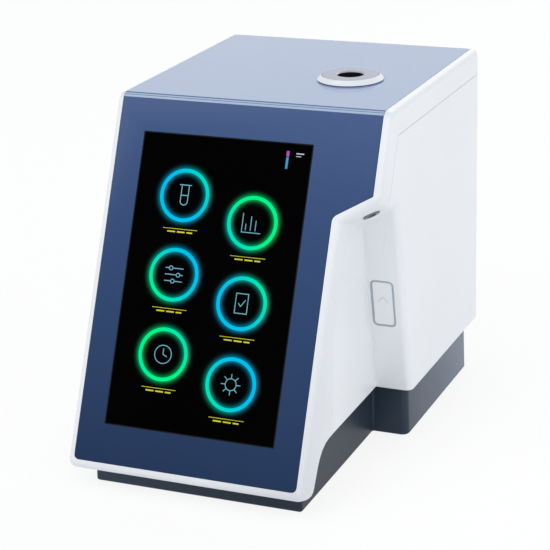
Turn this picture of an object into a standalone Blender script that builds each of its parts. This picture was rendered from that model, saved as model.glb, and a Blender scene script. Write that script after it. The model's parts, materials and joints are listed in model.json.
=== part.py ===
"""Desk-top blood cell analyser, modelled as the separate parts it is built from.

Metres, +Z up. The screen faces -Y and +X is on the viewer's right. The origin is the middle of
the footprint, on the surface that the rubber feet stand on.
"""
import math

import bmesh
import bpy
from mathutils import Matrix, Vector

# Overall sizes
WIDTH = 0.218
DEPTH = 0.3285
DECK_HEIGHT = 0.276
LEAN = math.radians(24.3)
GAP = 0.0003
OVERRUN = 0.03
ARC_STEPS = 4
ROUND_SIDES = 16
FINE_SIDES = 40

# White housing
WALL = 0.0025
SHELF_DEPTH = 0.006
EDGE_RADIUS = 0.0055
TOE_HEIGHT = 0.0153
TOE_RADIUS = 0.006
LEG_DEPTH = 0.0196
HEEL_SLOPE = math.radians(58)
HEEL_RADIUS = 0.008
ARCH_RADIUS = 0.028
SKIRT_HEIGHT = 0.045
BROW_RUN = 0.0046
BROW_DROP = 0.0028
SEAM_DEPTH = 0.021
SEAM_DROP = 0.0207
SEAM_BEND_DROP = 0.1408
SEAM_FOOT_BACK = 0.060
REAR_SEAM_INSET = 0.009
REAR_RECESS = 0.002

# Sampling niche in the front right corner
NICHE_WIDTH = 0.0287
NICHE_BROW_DROP = 0.0785
NICHE_SLANT = math.radians(31)
NICHE_CEILING_DROP = math.radians(21.3)
NICHE_WALL_LEAN = math.radians(10)
NICHE_WALL_FOOT_BACK = 0.1541

# Blue panels and screen, measured up the leaning front
PANEL_THICKNESS = 0.003
PANEL_LEDGE = 0.004
PANEL_EDGE_INSET = 0.0057
PANEL_BOTTOM_RISE = 0.0263
PANEL_REAR_INSET = 0.0062
PANEL_GROOVE = 0.0005
PANEL_CORNER_RADIUS = 0.0035
PANEL_JOG_RADIUS = 0.006
SCREEN_LEFT_MARGIN = 0.0271
SCREEN_RIGHT_MARGIN = 0.0555
SCREEN_TOP_MARGIN = 0.0249
SCREEN_BOTTOM_RISE = 0.0554
LCD_BORDER = 0.005
LCD_THICKNESS = 0.006
BOARD_THICKNESS = 0.0016

# Base
BASE_INSET = 0.0075
BASE_LEFT_INSET = 0.015
BASE_STEP_INSET = 0.0122
BASE_DRAFT = 0.0007
BASE_RADIUS = 0.006
BASE_FRONT_RADIUS = 0.0025
BASE_STEP_RADIUS = 0.0015
BASE_WALL = 0.0025
BASE_LAP = 0.0035
BASE_FRONT_DROP = 0.0085
BASE_FLARE = 0.0015
BASE_FLARE_DROP = 0.0095
BASE_COVE = 0.003
FOOT_DROP = 0.001
FOOT_RADIUS = 0.009
FOOT_INSET = 0.0145
BOSS_RADIUS = 0.005

# Tube port on the top panel
PORT_SIDE = 0.0625
PORT_BACK = 0.1985
PORT_LIP_RADIUS = 0.0255
PORT_LIP_LIFT = 0.001
PORT_TOP_RADIUS = 0.0226
PORT_RISE = 0.0044
PORT_NECK_RADIUS = 0.0195
PORT_NECK_WALL = 0.002
PORT_NECK_LENGTH = 0.008
ADAPTER_FLANGE = 0.0025
ADAPTER_BORE = 0.0099
ADAPTER_WALL = 0.0026
ADAPTER_LENGTH = 0.038
ADAPTER_LEAD_IN = 0.0011
CUP_WALL = 0.0025
CUP_TOP_DROP = 0.010
CUP_LENGTH = 0.072
CUP_FLOOR = 0.003
CUP_FLANGE = 0.006

# Needle outlet and start plate
NEEDLE_SIDE = 0.0144
NEEDLE_DEPTH = 0.0275
NEEDLE_RADIUS = 0.0008
OUTLET_RADIUS = 0.0055
OUTLET_BORE = 0.0032
OUTLET_LENGTH = 0.008
OUTLET_RISE = 0.0006
START_WIDTH = 0.0175
START_HEIGHT = 0.0385
START_SIDE = 0.0174
START_DROP = 0.0821
START_RADIUS = 0.0035
START_THICKNESS = 0.003
START_TRAVEL = 0.0015
START_GROOVE = 0.0009
SWITCH_SIZE = 0.008

# Chassis: a floor plate and a deck joined by an upright web
SHEET = 0.0015
FLOOR_CLEARANCE = 0.001
FLOOR_FRONT_BACK = 0.047
FLOOR_SIDE_INSET = 0.0135
FLOOR_REAR_INSET = 0.014
WEB_TO_PORT = 0.0385
WEB_FRONT_BACK = 0.128
WEB_DROP = 0.0475
DECK_LEFT_INSET = 0.039

# Slide units: sampler, piercer and syringe
MOTOR_SIZE = 0.028
MOTOR_LENGTH = 0.028
PLATE = 0.002
SPINDLE_RADIUS = 0.0025
RUNNING_CLEARANCE = 0.0004
ROD_RADIUS = 0.002
ROD_PITCH = 0.018
CARRIAGE_HEIGHT = 0.012
CARRIAGE_HALF_DEPTH = 0.0065
CARRIAGE_MARGIN = 0.006
BACK_PLATE_OFFSET = 0.0145
HUB_RADIUS = 0.003
SAMPLER_REACH = 0.0326
SAMPLER_SPINDLE_DEPTH = 0.032
SAMPLER_SEAT_LIFT = 0.0225
SAMPLER_SPAN = 0.058
SAMPLER_TIP_CLEAR = 0.011
PIERCER_REACH = 0.064
PIERCER_SPAN = 0.054
PIERCER_TIP_CLEAR = 0.0035
SYRINGE_REAR_INSET = 0.0525
SYRINGE_FLOOR_CLEAR = 0.0015
SYRINGE_TOP_CLEAR = 0.0222
SYRINGE_PITCH = 0.024
PISTON_RADIUS = 0.005
PISTON_LENGTH = 0.006
PLUNGER_ROD_RADIUS = 0.002
BARREL_WALL = 0.0015

# Fluid parts on the left of the web
FLUID_FRONT_MARGIN = 0.014
FLUID_REAR_CLEAR = 0.0056
MANIFOLD_DEPTH = 0.016
MANIFOLD_HEIGHT = 0.022
MANIFOLD_LIFT = 0.012
COIL_PITCH = 0.018
COIL_RADIUS = 0.0075
COIL_LENGTH = 0.026
COIL_YOKE = 0.003
COUNTER_LENGTH_SHARE = 0.39
CHAMBER_START_SHARE = 0.48
CHAMBER_BORE_SHARE = 0.174
CHAMBER_WALL = 0.003
CHAMBER_HEIGHT = 0.040
CHAMBER_LIFT = 0.052
CHAMBER_FLOOR = 0.006
COUNTER_DEPTH = 0.026
COUNTER_HEIGHT = 0.050
PUMP_FAN_CLEAR = 0.0037
PUMP_DROP = 0.036
PUMP_MOTOR_RADIUS = 0.012
PUMP_MOTOR_LENGTH = 0.026
PUMP_HEAD_RADIUS = 0.019
PUMP_HEAD_BORE = 0.0145
PUMP_HEAD_LENGTH = 0.016
PUMP_HEAD_FLOOR = 0.003
ROTOR_RADIUS = 0.0125
ROTOR_CHEEK = 0.0025
ROTOR_HUB_RADIUS = 0.0035
ROLLER_RADIUS = 0.0032
ROLLER_CIRCLE = 0.0085
ROLLER_BORE = 0.0012
ROLLER_PIN_RADIUS = 0.0009
ROLLER_COUNT = 2

# Electrics on the right of the web
BOARD_PORT_CLEAR = 0.0295
BOARD_REAR_INSET = 0.0185
BOARD_TOP_CLEAR = 0.016
BOARD_LIFT = 0.050
SPACER_RADIUS = 0.003
SPACER_LENGTH = 0.006
CHIP_HEIGHT = 0.0025
SUPPLY_WIDTH = 0.052
SUPPLY_LENGTH = 0.080
SUPPLY_HEIGHT = 0.038
SUPPLY_SIDE = 0.057

# Rear panel fittings
REAR_PLATE = 0.0025
FAN_SIZE = 0.060
FAN_THICKNESS = 0.015
FAN_DROP = 0.0608
FAN_BORE = 0.0275
FAN_HUB_RADIUS = 0.012
FAN_BLADE_COUNT = 7
FAN_BLADE_THICKNESS = 0.0012
FAN_BLADE_TURN = math.radians(38)
FAN_SPIDER_WIDTH = 0.004
SLOT_HEIGHT = 0.003
SLOT_PITCH = 0.0065
SLOT_COUNT = 8
BAY_SIDE = 0.022
BAY_PORTS_CLEAR = 0.039
BAY_HEIGHT = 0.030
BAY_DEPTH = 0.018
BAY_WALL = 0.002
FITTING_PITCH = 0.019
FITTING_RADIUS = 0.004
FITTING_BORE = 0.0012
INLET_SIDE = 0.035
INLET_LIFT = 0.058
INLET_WIDTH = 0.030
INLET_HEIGHT = 0.022
INLET_DEPTH = 0.020
INLET_RIM = 0.003
ROCKER_LIFT = 0.088
ROCKER_WIDTH = 0.020
ROCKER_HEIGHT = 0.014
ROCKER_TILT = math.radians(8)
ROCKER_DEPTH = 0.006
SWITCH_WALL = 0.002
SWITCH_DEPTH = 0.016
PORTS_SIDE = 0.079
PORTS_LIFT = 0.062
USB_WIDTH = 0.0125
USB_HEIGHT = 0.0052
LAN_WIDTH = 0.014
LAN_HEIGHT = 0.011
SOCKET_WALL = 0.0012
SOCKET_DEPTH = 0.012
SOCKET_SPACING = 0.010
HOSE_RADIUS = 0.002
HOSE_SWEEP = 0.070

# Derived planes
FRONT_END = -DEPTH / 2
REAR_END = DEPTH / 2
HALF_WIDTH = WIDTH / 2
SIN, COS = math.sin(LEAN), math.cos(LEAN)
TOE_CENTRE_HEIGHT = TOE_HEIGHT + TOE_RADIUS
FOOT_Y = FRONT_END + TOE_RADIUS - (TOE_RADIUS + TOE_CENTRE_HEIGHT * SIN) / COS
BROW_RISE = (DECK_HEIGHT - BROW_DROP) / COS
SEAM_HEIGHT = DECK_HEIGHT - SEAM_DROP
SEAM_BEND_HEIGHT = SEAM_HEIGHT - SEAM_BEND_DROP
REAR_SEAM_X = HALF_WIDTH - REAR_SEAM_INSET
REAR_FACE = REAR_END - REAR_RECESS
REAR_INNER = REAR_FACE - REAR_PLATE
SCREEN_WIDTH = WIDTH - SCREEN_LEFT_MARGIN - SCREEN_RIGHT_MARGIN
SCREEN_HEIGHT = BROW_RISE - SCREEN_TOP_MARGIN - SCREEN_BOTTOM_RISE
SCREEN_X = (SCREEN_LEFT_MARGIN - SCREEN_RIGHT_MARGIN) / 2
NICHE_X = HALF_WIDTH - NICHE_WIDTH
NICHE_TOP_RISE = BROW_RISE - NICHE_BROW_DROP
NEEDLE_X = HALF_WIDTH - NEEDLE_SIDE
START_X = HALF_WIDTH - START_SIDE
START_CENTRE_HEIGHT = NICHE_TOP_RISE * COS - START_DROP
PORT_X = HALF_WIDTH - PORT_SIDE
PORT_Y = FRONT_END + PORT_BACK
BASE_TOP = SKIRT_HEIGHT + BASE_LAP

# Derived places of what the housing holds
FLOOR_HEIGHT = BASE_TOP + FLOOR_CLEARANCE
FLOOR_TOP = FLOOR_HEIGHT + SHEET
WEB_TOP = DECK_HEIGHT - WEB_DROP
WEB_X = PORT_X - WEB_TO_PORT
WEB_LEFT = WEB_X - GAP
WEB_RIGHT = WEB_X + SHEET + GAP
SAMPLER_SPINDLE_X = NEEDLE_X - SAMPLER_REACH
SAMPLER_SEAT_RISE = NICHE_TOP_RISE + SAMPLER_SEAT_LIFT
PIERCER_NEEDLE_TOP = DECK_HEIGHT - CUP_TOP_DROP - CUP_LENGTH - PIERCER_TIP_CLEAR
PIERCER_SEAT_HEIGHT = PIERCER_NEEDLE_TOP - PIERCER_REACH
SYRINGE_Y = REAR_END - SYRINGE_REAR_INSET
SYRINGE_REACH = ROD_PITCH + SYRINGE_PITCH / 2
SYRINGE_SEAT_HEIGHT = FLOOR_TOP + MOTOR_LENGTH + SYRINGE_FLOOR_CLEAR
SYRINGE_SPAN = (WEB_TOP - SHEET - SYRINGE_TOP_CLEAR - SYRINGE_SEAT_HEIGHT - 2 * PLATE - GAP) / 2
FLUID_Y = FRONT_END + WEB_FRONT_BACK + FLUID_FRONT_MARGIN
FLUID_LENGTH = SYRINGE_Y - SYRINGE_REACH - CARRIAGE_MARGIN - RUNNING_CLEARANCE - FLUID_REAR_CLEAR - FLUID_Y
CHAMBER_Y = FLUID_Y + CHAMBER_START_SHARE * FLUID_LENGTH
CHAMBER_LENGTH = (1 - CHAMBER_START_SHARE) * FLUID_LENGTH
CHAMBER_BORE = CHAMBER_BORE_SHARE * CHAMBER_LENGTH
CHAMBER_DEPTH = 2 * (CHAMBER_BORE + CHAMBER_WALL)
PUMP_Y = REAR_INNER - GAP - FAN_THICKNESS - PUMP_FAN_CLEAR - PUMP_HEAD_RADIUS
PUMP_HEIGHT = WEB_TOP - PUMP_DROP
BOARD_Y = PORT_Y + BOARD_PORT_CLEAR
BOARD_LENGTH = REAR_END - BOARD_REAR_INSET - BOARD_Y
BOARD_HEIGHT = WEB_TOP - SHEET - BOARD_TOP_CLEAR - FLOOR_TOP - BOARD_LIFT
SUPPLY_X = HALF_WIDTH - SUPPLY_SIDE
FAN_X = (WEB_X - HALF_WIDTH) / 2
FAN_HEIGHT = SEAM_HEIGHT - FAN_DROP
INLET_X = HALF_WIDTH - INLET_SIDE
PORTS_X = HALF_WIDTH - PORTS_SIDE
BAY_WIDTH = PORTS_X - BAY_PORTS_CLEAR - BAY_SIDE + HALF_WIDTH
BAY_X = BAY_SIDE - HALF_WIDTH + BAY_WIDTH / 2
BAY_CENTRE_HEIGHT = (SKIRT_HEIGHT + FAN_HEIGHT - FAN_SIZE / 2) / 2

FINISHES = {
    "white_plastic": ((0.78, 0.81, 0.85), 0.32, 0.0),
    "blue_gloss": ((0.035, 0.075, 0.17), 0.12, 0.0),
    "black_glass": ((0.004, 0.004, 0.005), 0.06, 0.0),
    "slate_plastic": ((0.04, 0.05, 0.065), 0.45, 0.0),
    "grey_plastic": ((0.42, 0.44, 0.48), 0.4, 0.0),
    "dark_plastic": ((0.02, 0.02, 0.022), 0.5, 0.0),
    "clear_plastic": ((0.75, 0.80, 0.84), 0.1, 0.0),
    "rubber": ((0.015, 0.015, 0.016), 0.8, 0.0),
    "zinc_sheet": ((0.55, 0.56, 0.58), 0.4, 1.0),
    "steel": ((0.60, 0.60, 0.62), 0.25, 1.0),
    "aluminium": ((0.70, 0.71, 0.73), 0.35, 1.0),
    "circuit_board": ((0.01, 0.16, 0.06), 0.45, 0.0),
    "hose": ((0.70, 0.72, 0.70), 0.35, 0.0),
}


# Helpers: outlines

def front_y(height, depth=0.0):
    """Y at a height on the plane that lies a depth behind the leaning front."""
    return FOOT_Y + (depth + height * SIN) / COS


def slope_point(rise, depth):
    """Y and Z of a point a rise up the leaning front and a depth behind it."""
    return FOOT_Y + rise * SIN + depth * COS, rise * COS - depth * SIN


def rounded(corners):
    """Outline from (a, b, radius) corners, each corner a tangent arc of that radius."""
    outline = []
    for index, (a, b, radius) in enumerate(corners):
        corner = Vector((a, b))
        if radius == 0:
            outline.append(corner)
            continue
        before = Vector(corners[index - 1][:2]) - corner
        after = Vector(corners[(index + 1) % len(corners)][:2]) - corner
        half = before.angle(after) / 2
        middle = corner + (before.normalized() + after.normalized()).normalized() * radius / math.sin(half)
        start = corner + before.normalized() * radius / math.tan(half) - middle
        end = corner + after.normalized() * radius / math.tan(half) - middle
        sweep = start.angle_signed(end)
        for step in range(ARC_STEPS + 1):
            turn = Matrix.Rotation(-sweep * step / ARC_STEPS, 2)
            outline.append(middle + turn @ start)
    return [tuple(point) for point in outline]


def offset_path(path, distance):
    """Open path moved sideways to its right, with mitred corners."""
    points = [Vector(point) for point in path]
    sides = []
    for start, end in zip(points, points[1:]):
        run = (end - start).normalized()
        sides.append(Vector((run.y, -run.x)))
    moved = [points[0] + sides[0] * distance]
    for point, left, right in zip(points[1:], sides, sides[1:]):
        mitre = (left + right).normalized()
        moved.append(point + mitre * distance / mitre.dot(left))
    moved.append(points[-1] + sides[-1] * distance)
    return [tuple(point) for point in moved]


def rectangle(low_a, high_a, low_b, high_b, radius=0.0):
    return rounded([(low_a, low_b, radius), (high_a, low_b, radius),
                    (high_a, high_b, radius), (low_a, high_b, radius)])


def circle(radius, centre=(0.0, 0.0), sides=ROUND_SIDES):
    turn = 2 * math.pi / sides
    return [(centre[0] + radius * math.cos(turn * (i + 0.5)), centre[1] + radius * math.sin(turn * (i + 0.5)))
            for i in range(sides)]


# Helpers: solids

def place(axis, a, b, along):
    """Point of an outline (a, b) at a distance along its extrusion axis."""
    return {"X": (along, a, b), "Y": (a, along, b), "Z": (a, b, along)}[axis]


def add_prism(mesh, outline, axis, low, high):
    bottom = [mesh.verts.new(place(axis, a, b, low)) for a, b in outline]
    top = [mesh.verts.new(place(axis, a, b, high)) for a, b in outline]
    mesh.faces.new(bottom)
    mesh.faces.new(top)
    for i in range(len(outline)):
        j = (i + 1) % len(outline)
        mesh.faces.new((bottom[i], bottom[j], top[j], top[i]))


def add_box(mesh, x_span, y_span, z_span):
    add_prism(mesh, rectangle(*x_span, *y_span), "Z", *z_span)


def add_turned(mesh, profile, sides=ROUND_SIDES, axis="Z", centre=(0.0, 0.0)):
    """Closed profile of (radius, along) turned about an axis; radius zero meets the axis."""
    rings = []
    for radius, along in profile:
        if radius == 0:
            rings.append([mesh.verts.new(place(axis, *centre, along))] * sides)
        else:
            outline = circle(radius, centre, sides)
            rings.append([mesh.verts.new(place(axis, *point, along)) for point in outline])
    for ring, following in zip(rings, rings[1:] + rings[:1]):
        for i in range(sides):
            j = (i + 1) % sides
            corners = list(dict.fromkeys((ring[i], ring[j], following[j], following[i])))
            if len(corners) > 2:
                mesh.faces.new(corners)


def add_loft(mesh, rings):
    """Closed skin through rings of (x, y, z) points, capped at the first and the last."""
    rows = [[mesh.verts.new(point) for point in ring] for ring in rings]
    mesh.faces.new(rows[0])
    mesh.faces.new(rows[-1])
    for row, following in zip(rows, rows[1:]):
        for i in range(len(row)):
            j = (i + 1) % len(row)
            mesh.faces.new((row[i], row[j], following[j], following[i]))


def material(finish):
    shade = bpy.data.materials.get(finish)
    if shade is None:
        colour, roughness, metallic = FINISHES[finish]
        shade = bpy.data.materials.new(finish)
        shade.use_nodes = True
        surface = shade.node_tree.nodes["Principled BSDF"]
        surface.inputs["Base Color"].default_value = (*colour, 1.0)
        surface.inputs["Roughness"].default_value = roughness
        surface.inputs["Metallic"].default_value = metallic
    return shade


def make(name, finish, build, at=(0.0, 0.0, 0.0), frame=None, smooth=False):
    """One named part: build fills its mesh, whose origin is placed at a point in its frame."""
    mesh = bmesh.new()
    build(mesh)
    bmesh.ops.recalc_face_normals(mesh, faces=mesh.faces)
    data = bpy.data.meshes.new(name)
    mesh.to_mesh(data)
    mesh.free()
    data.materials.append(material(finish))
    if smooth:
        data.shade_smooth()
        data.set_sharp_from_angle(angle=math.radians(35))
    part = bpy.data.objects.new(name, data)
    bpy.context.scene.collection.objects.link(part)
    part.location = at
    part.parent = frame
    return part


def make_frame(name, at, tilt=0.0, turn=0.0):
    """Empty that carries the parts of one tilted or turned unit."""
    frame = bpy.data.objects.new(name, None)
    bpy.context.scene.collection.objects.link(frame)
    frame.location = at
    frame.rotation_euler = (tilt, 0.0, turn)
    return frame


def weld(data):
    """Join the corners of a mesh that a cut leaves far closer together than any gap."""
    mesh = bmesh.new()
    mesh.from_mesh(data)
    bmesh.ops.remove_doubles(mesh, verts=mesh.verts, dist=GAP / 100)
    mesh.to_mesh(data)
    mesh.free()


def combine(part, build, operation="DIFFERENCE", frame=None):
    """Cut, join or trim a part with the solid that build makes in the given frame."""
    tool = make(part.name + "_tool", "dark_plastic", build, frame=frame)
    bpy.context.view_layer.update()
    change = part.modifiers.new("change", "BOOLEAN")
    change.operation = operation
    change.solver = "EXACT"
    change.object = tool
    bpy.context.view_layer.update()
    result = bpy.data.meshes.new_from_object(part.evaluated_get(bpy.context.evaluated_depsgraph_get()))
    part.modifiers.clear()
    weld(result)
    finish = part.data.materials[0]
    part.data = result
    result.materials.clear()
    result.materials.append(finish)
    bpy.data.objects.remove(tool)
    return part


def copy_part(source, name, finish):
    """Copy of a part under a new name, with its own mesh and finish."""
    part = source.copy()
    part.data = source.data.copy()
    part.name = name
    part.data.materials.clear()
    part.data.materials.append(material(finish))
    bpy.context.scene.collection.objects.link(part)
    return part


# White housing

def outer_profile():
    """Side view of the housing as (y, z) corners with arcs."""
    brow_height = DECK_HEIGHT - BROW_DROP
    heel_y = FRONT_END + LEG_DEPTH
    arch_y = heel_y + (SKIRT_HEIGHT - TOE_HEIGHT) / math.tan(HEEL_SLOPE)
    return rounded([
        (front_y(TOE_HEIGHT), TOE_HEIGHT, TOE_RADIUS),
        (heel_y, TOE_HEIGHT, HEEL_RADIUS),
        (arch_y, SKIRT_HEIGHT, ARCH_RADIUS),
        (REAR_END, SKIRT_HEIGHT, 0),
        (REAR_END, DECK_HEIGHT, TOE_RADIUS),
        (front_y(brow_height) + BROW_RUN, DECK_HEIGHT, 0),
        (front_y(brow_height), brow_height, 0)])


def base_front():
    """Y of the base's front wall, clear of the lip that closes the housing's leg."""
    return FRONT_END + LEG_DEPTH - HEEL_RADIUS * math.tan(HEEL_SLOPE / 2) + GAP


def inner_profile():
    """Side view of the space inside the housing, open below the skirt."""
    lip_top = TOE_HEIGHT + WALL
    lip_back = base_front() - GAP
    return [(front_y(lip_top, SHELF_DEPTH), lip_top),
            (lip_back, lip_top),
            (lip_back, -OVERRUN),
            (REAR_END - WALL, -OVERRUN),
            (REAR_END - WALL, DECK_HEIGHT - SHELF_DEPTH),
            (front_y(DECK_HEIGHT - SHELF_DEPTH, SHELF_DEPTH), DECK_HEIGHT - SHELF_DEPTH)]


def ceiling_height(x, y, margin=0.0):
    """Z of the niche's sloping ceiling, a margin inside the housing."""
    corner_y, corner_z = slope_point(NICHE_TOP_RISE, 0.0)
    drop = math.tan(NICHE_CEILING_DROP)
    rise = math.tan(NICHE_SLANT) * (COS + drop * SIN)
    steepness = math.sqrt(1 + drop * drop + rise * rise)
    return corner_z + rise * (x - NICHE_X) - drop * (y - corner_y) + margin * steepness


def niche_wall_y(height, margin=0.0):
    """Y of the niche's leaning back wall, a margin inside the housing."""
    foot = FRONT_END + NICHE_WALL_FOOT_BACK + margin / math.cos(NICHE_WALL_LEAN)
    return foot - (height - SKIRT_HEIGHT) * math.tan(NICHE_WALL_LEAN)


def niche_space(mesh, margin=0.0):
    """The niche as a solid, grown into the housing by a margin."""
    front = FRONT_END - OVERRUN
    faces = []
    for x in (NICHE_X - margin, HALF_WIDTH + OVERRUN):
        lean, drop = math.tan(NICHE_WALL_LEAN), math.tan(NICHE_CEILING_DROP)
        level = ceiling_height(x, 0.0, margin)
        back = (niche_wall_y(0.0, margin) - lean * level) / (1 - lean * drop)
        faces.append([(x, front, -OVERRUN), (x, niche_wall_y(-OVERRUN, margin), -OVERRUN),
                      (x, back, ceiling_height(x, back, margin)),
                      (x, front, ceiling_height(x, front, margin))])
    add_loft(mesh, faces)


def soften_flanks(part):
    """Round the housing's outer edges along its sides and around the niche."""
    mesh = bmesh.new()
    mesh.from_mesh(part.data)
    bmesh.ops.dissolve_limit(mesh, angle_limit=math.radians(0.5), verts=mesh.verts, edges=mesh.edges)
    flank_share = 0.3
    edges = []
    for edge in mesh.edges:
        sides = [face.normal for face in edge.link_faces]
        flanks = [abs(normal.x) > flank_share for normal in sides]
        underside = any(normal.z < -flank_share and normal.y > -flank_share / 2 and not flank
                        for normal, flank in zip(sides, flanks))
        if any(flanks) and edge.is_convex and not underside and edge.calc_face_angle() > math.radians(20):
            edges.append(edge)
    bmesh.ops.bevel(mesh, geom=edges, offset=EDGE_RADIUS, offset_type="OFFSET", segments=ARC_STEPS,
                    profile=0.5, affect="EDGES", clamp_overlap=False)
    bmesh.ops.remove_doubles(mesh, verts=mesh.verts, dist=GAP / 100)
    bmesh.ops.recalc_face_normals(mesh, faces=mesh.faces)
    mesh.to_mesh(part.data)
    mesh.free()


def jog_block(mesh, margin=0.0):
    """The corner that the niche takes out of the front panel, in the leaning frame."""
    left = NICHE_X - PANEL_EDGE_INSET - margin
    slant = math.tan(NICHE_SLANT)
    lift = (PANEL_EDGE_INSET + margin) / math.cos(NICHE_SLANT)
    right = HALF_WIDTH + OVERRUN
    corner_rise = NICHE_TOP_RISE + lift + slant * (left - NICHE_X)
    far_rise = NICHE_TOP_RISE + lift + slant * (right - NICHE_X)
    outline = rounded([(left, -OVERRUN, 0), (right, -OVERRUN, 0), (right, far_rise, 0),
                       (left, corner_rise, PANEL_JOG_RADIUS)])
    add_prism(mesh, outline, "Y", -2 * OVERRUN, OVERRUN)


def panel_path(first_inset, last_inset):
    """Path up the front, over the brow and back along the top, as (y, z)."""
    bottom_rise = PANEL_BOTTOM_RISE + first_inset
    brow_height = DECK_HEIGHT - BROW_DROP
    return [slope_point(bottom_rise, 0.0), (front_y(brow_height), brow_height),
            (front_y(brow_height) + BROW_RUN, DECK_HEIGHT),
            (REAR_END - PANEL_REAR_INSET - last_inset, DECK_HEIGHT)]


def corner_waste(x, y, radius, side, ahead):
    """Outline of what the rounding of a corner at (x, y) takes away; side and ahead point outwards."""
    turns = [math.pi / 2 * step / ARC_STEPS for step in range(ARC_STEPS + 1)]
    arc = [(x - side * radius * (1 - math.sin(turn)), y - ahead * radius * (1 - math.cos(turn)))
           for turn in turns]
    return arc + [(x + side * OVERRUN, y - ahead * radius), (x + side * OVERRUN, y + ahead * OVERRUN),
                  (x - side * radius, y + ahead * OVERRUN)]


def round_panel(part, slope=None, margin=0.0):
    """Round a panel's corners: at the foot of the front with a slope, else at the rear of the top."""
    inset = PANEL_EDGE_INSET - margin
    radius = PANEL_CORNER_RADIUS + margin
    for side in (-1, 1):
        if slope:
            edge = inset - HALF_WIDTH if side < 0 else NICHE_X - inset
            waste = corner_waste(edge, PANEL_BOTTOM_RISE - margin, radius, side, -1)
            combine(part, lambda mesh: add_prism(mesh, waste, "Y", -2 * OVERRUN, OVERRUN), frame=slope)
        else:
            rear = REAR_END - PANEL_REAR_INSET + margin
            waste = corner_waste(side * (HALF_WIDTH - inset), rear, radius, side, 1)
            combine(part, lambda mesh: add_prism(mesh, waste, "Z", DECK_HEIGHT - OVERRUN,
                                                 DECK_HEIGHT + 2 * OVERRUN))


def panel_band(mesh, path, raised, depth, half_width):
    """Solid that follows a path from a height above the surface to a depth below it."""
    add_prism(mesh, offset_path(path, -raised) + offset_path(path, depth)[::-1], "X", -half_width, half_width)


def seam_path(shift):
    """Seam between the white frame and the covers, moved back by a shift, as (y, z)."""
    foot_y = FRONT_END + SEAM_FOOT_BACK + shift
    height = SEAM_HEIGHT - shift
    corner = (front_y(height, SEAM_DEPTH + shift), height)
    bend = (front_y(SEAM_BEND_HEIGHT, SEAM_DEPTH + shift), SEAM_BEND_HEIGHT)
    return [(REAR_END + OVERRUN, height), corner, bend, (foot_y, SKIRT_HEIGHT), (foot_y, -OVERRUN)]


def build_housing(slope):
    """Frame, side covers, rear cover, blue panels and touch glass."""
    form = make("housing_form", "white_plastic",
                lambda mesh: add_prism(mesh, outer_profile(), "X", -HALF_WIDTH, HALF_WIDTH))
    combine(form, niche_space)
    soften_flanks(form)
    hollow = make("hollow", "white_plastic",
                  lambda mesh: add_prism(mesh, inner_profile(), "X", WALL - HALF_WIDTH, HALF_WIDTH - WALL))
    combine(hollow, lambda mesh: niche_space(mesh, WALL))
    shell = copy_part(form, "shell", "white_plastic")

    def hollow_copy(mesh):
        mesh.from_mesh(hollow.data)
    combine(shell, hollow_copy)
    build_frame(shell, slope)
    build_covers(shell, slope)
    for spare in (form, hollow, shell):
        bpy.data.objects.remove(spare)
    build_panels(slope)


def build_frame(shell, slope):
    """White frame that carries the blue panels: the front and top bands of the housing."""
    frame = copy_part(shell, "front_frame", "white_plastic")
    far_front = FRONT_END - OVERRUN
    path = seam_path(-GAP / 2)
    ahead = path + [(far_front, -OVERRUN), (far_front, DECK_HEIGHT + OVERRUN),
                    (REAR_END + OVERRUN, DECK_HEIGHT + OVERRUN)]
    combine(frame, lambda mesh: add_prism(mesh, ahead, "X", -WIDTH, WIDTH), "INTERSECT")
    half_panel = HALF_WIDTH - PANEL_EDGE_INSET
    recess = make("recess", "white_plastic",
                  lambda mesh: panel_band(mesh, panel_path(-GAP, -GAP), OVERRUN, PANEL_THICKNESS + GAP,
                                          half_panel + GAP))
    combine(recess, lambda mesh: jog_block(mesh, -GAP), frame=slope)
    round_panel(recess, slope, GAP)
    round_panel(recess, margin=GAP)
    window = make("window", "white_plastic",
                  lambda mesh: panel_band(mesh, panel_path(PANEL_LEDGE, PANEL_LEDGE), OVERRUN,
                                          SHELF_DEPTH + WALL, half_panel - PANEL_LEDGE))
    combine(window, lambda mesh: jog_block(mesh, PANEL_LEDGE), frame=slope)
    for opening in (recess, window):
        combine(frame, lambda mesh, source=opening: mesh.from_mesh(source.data))
        bpy.data.objects.remove(opening)


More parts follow.
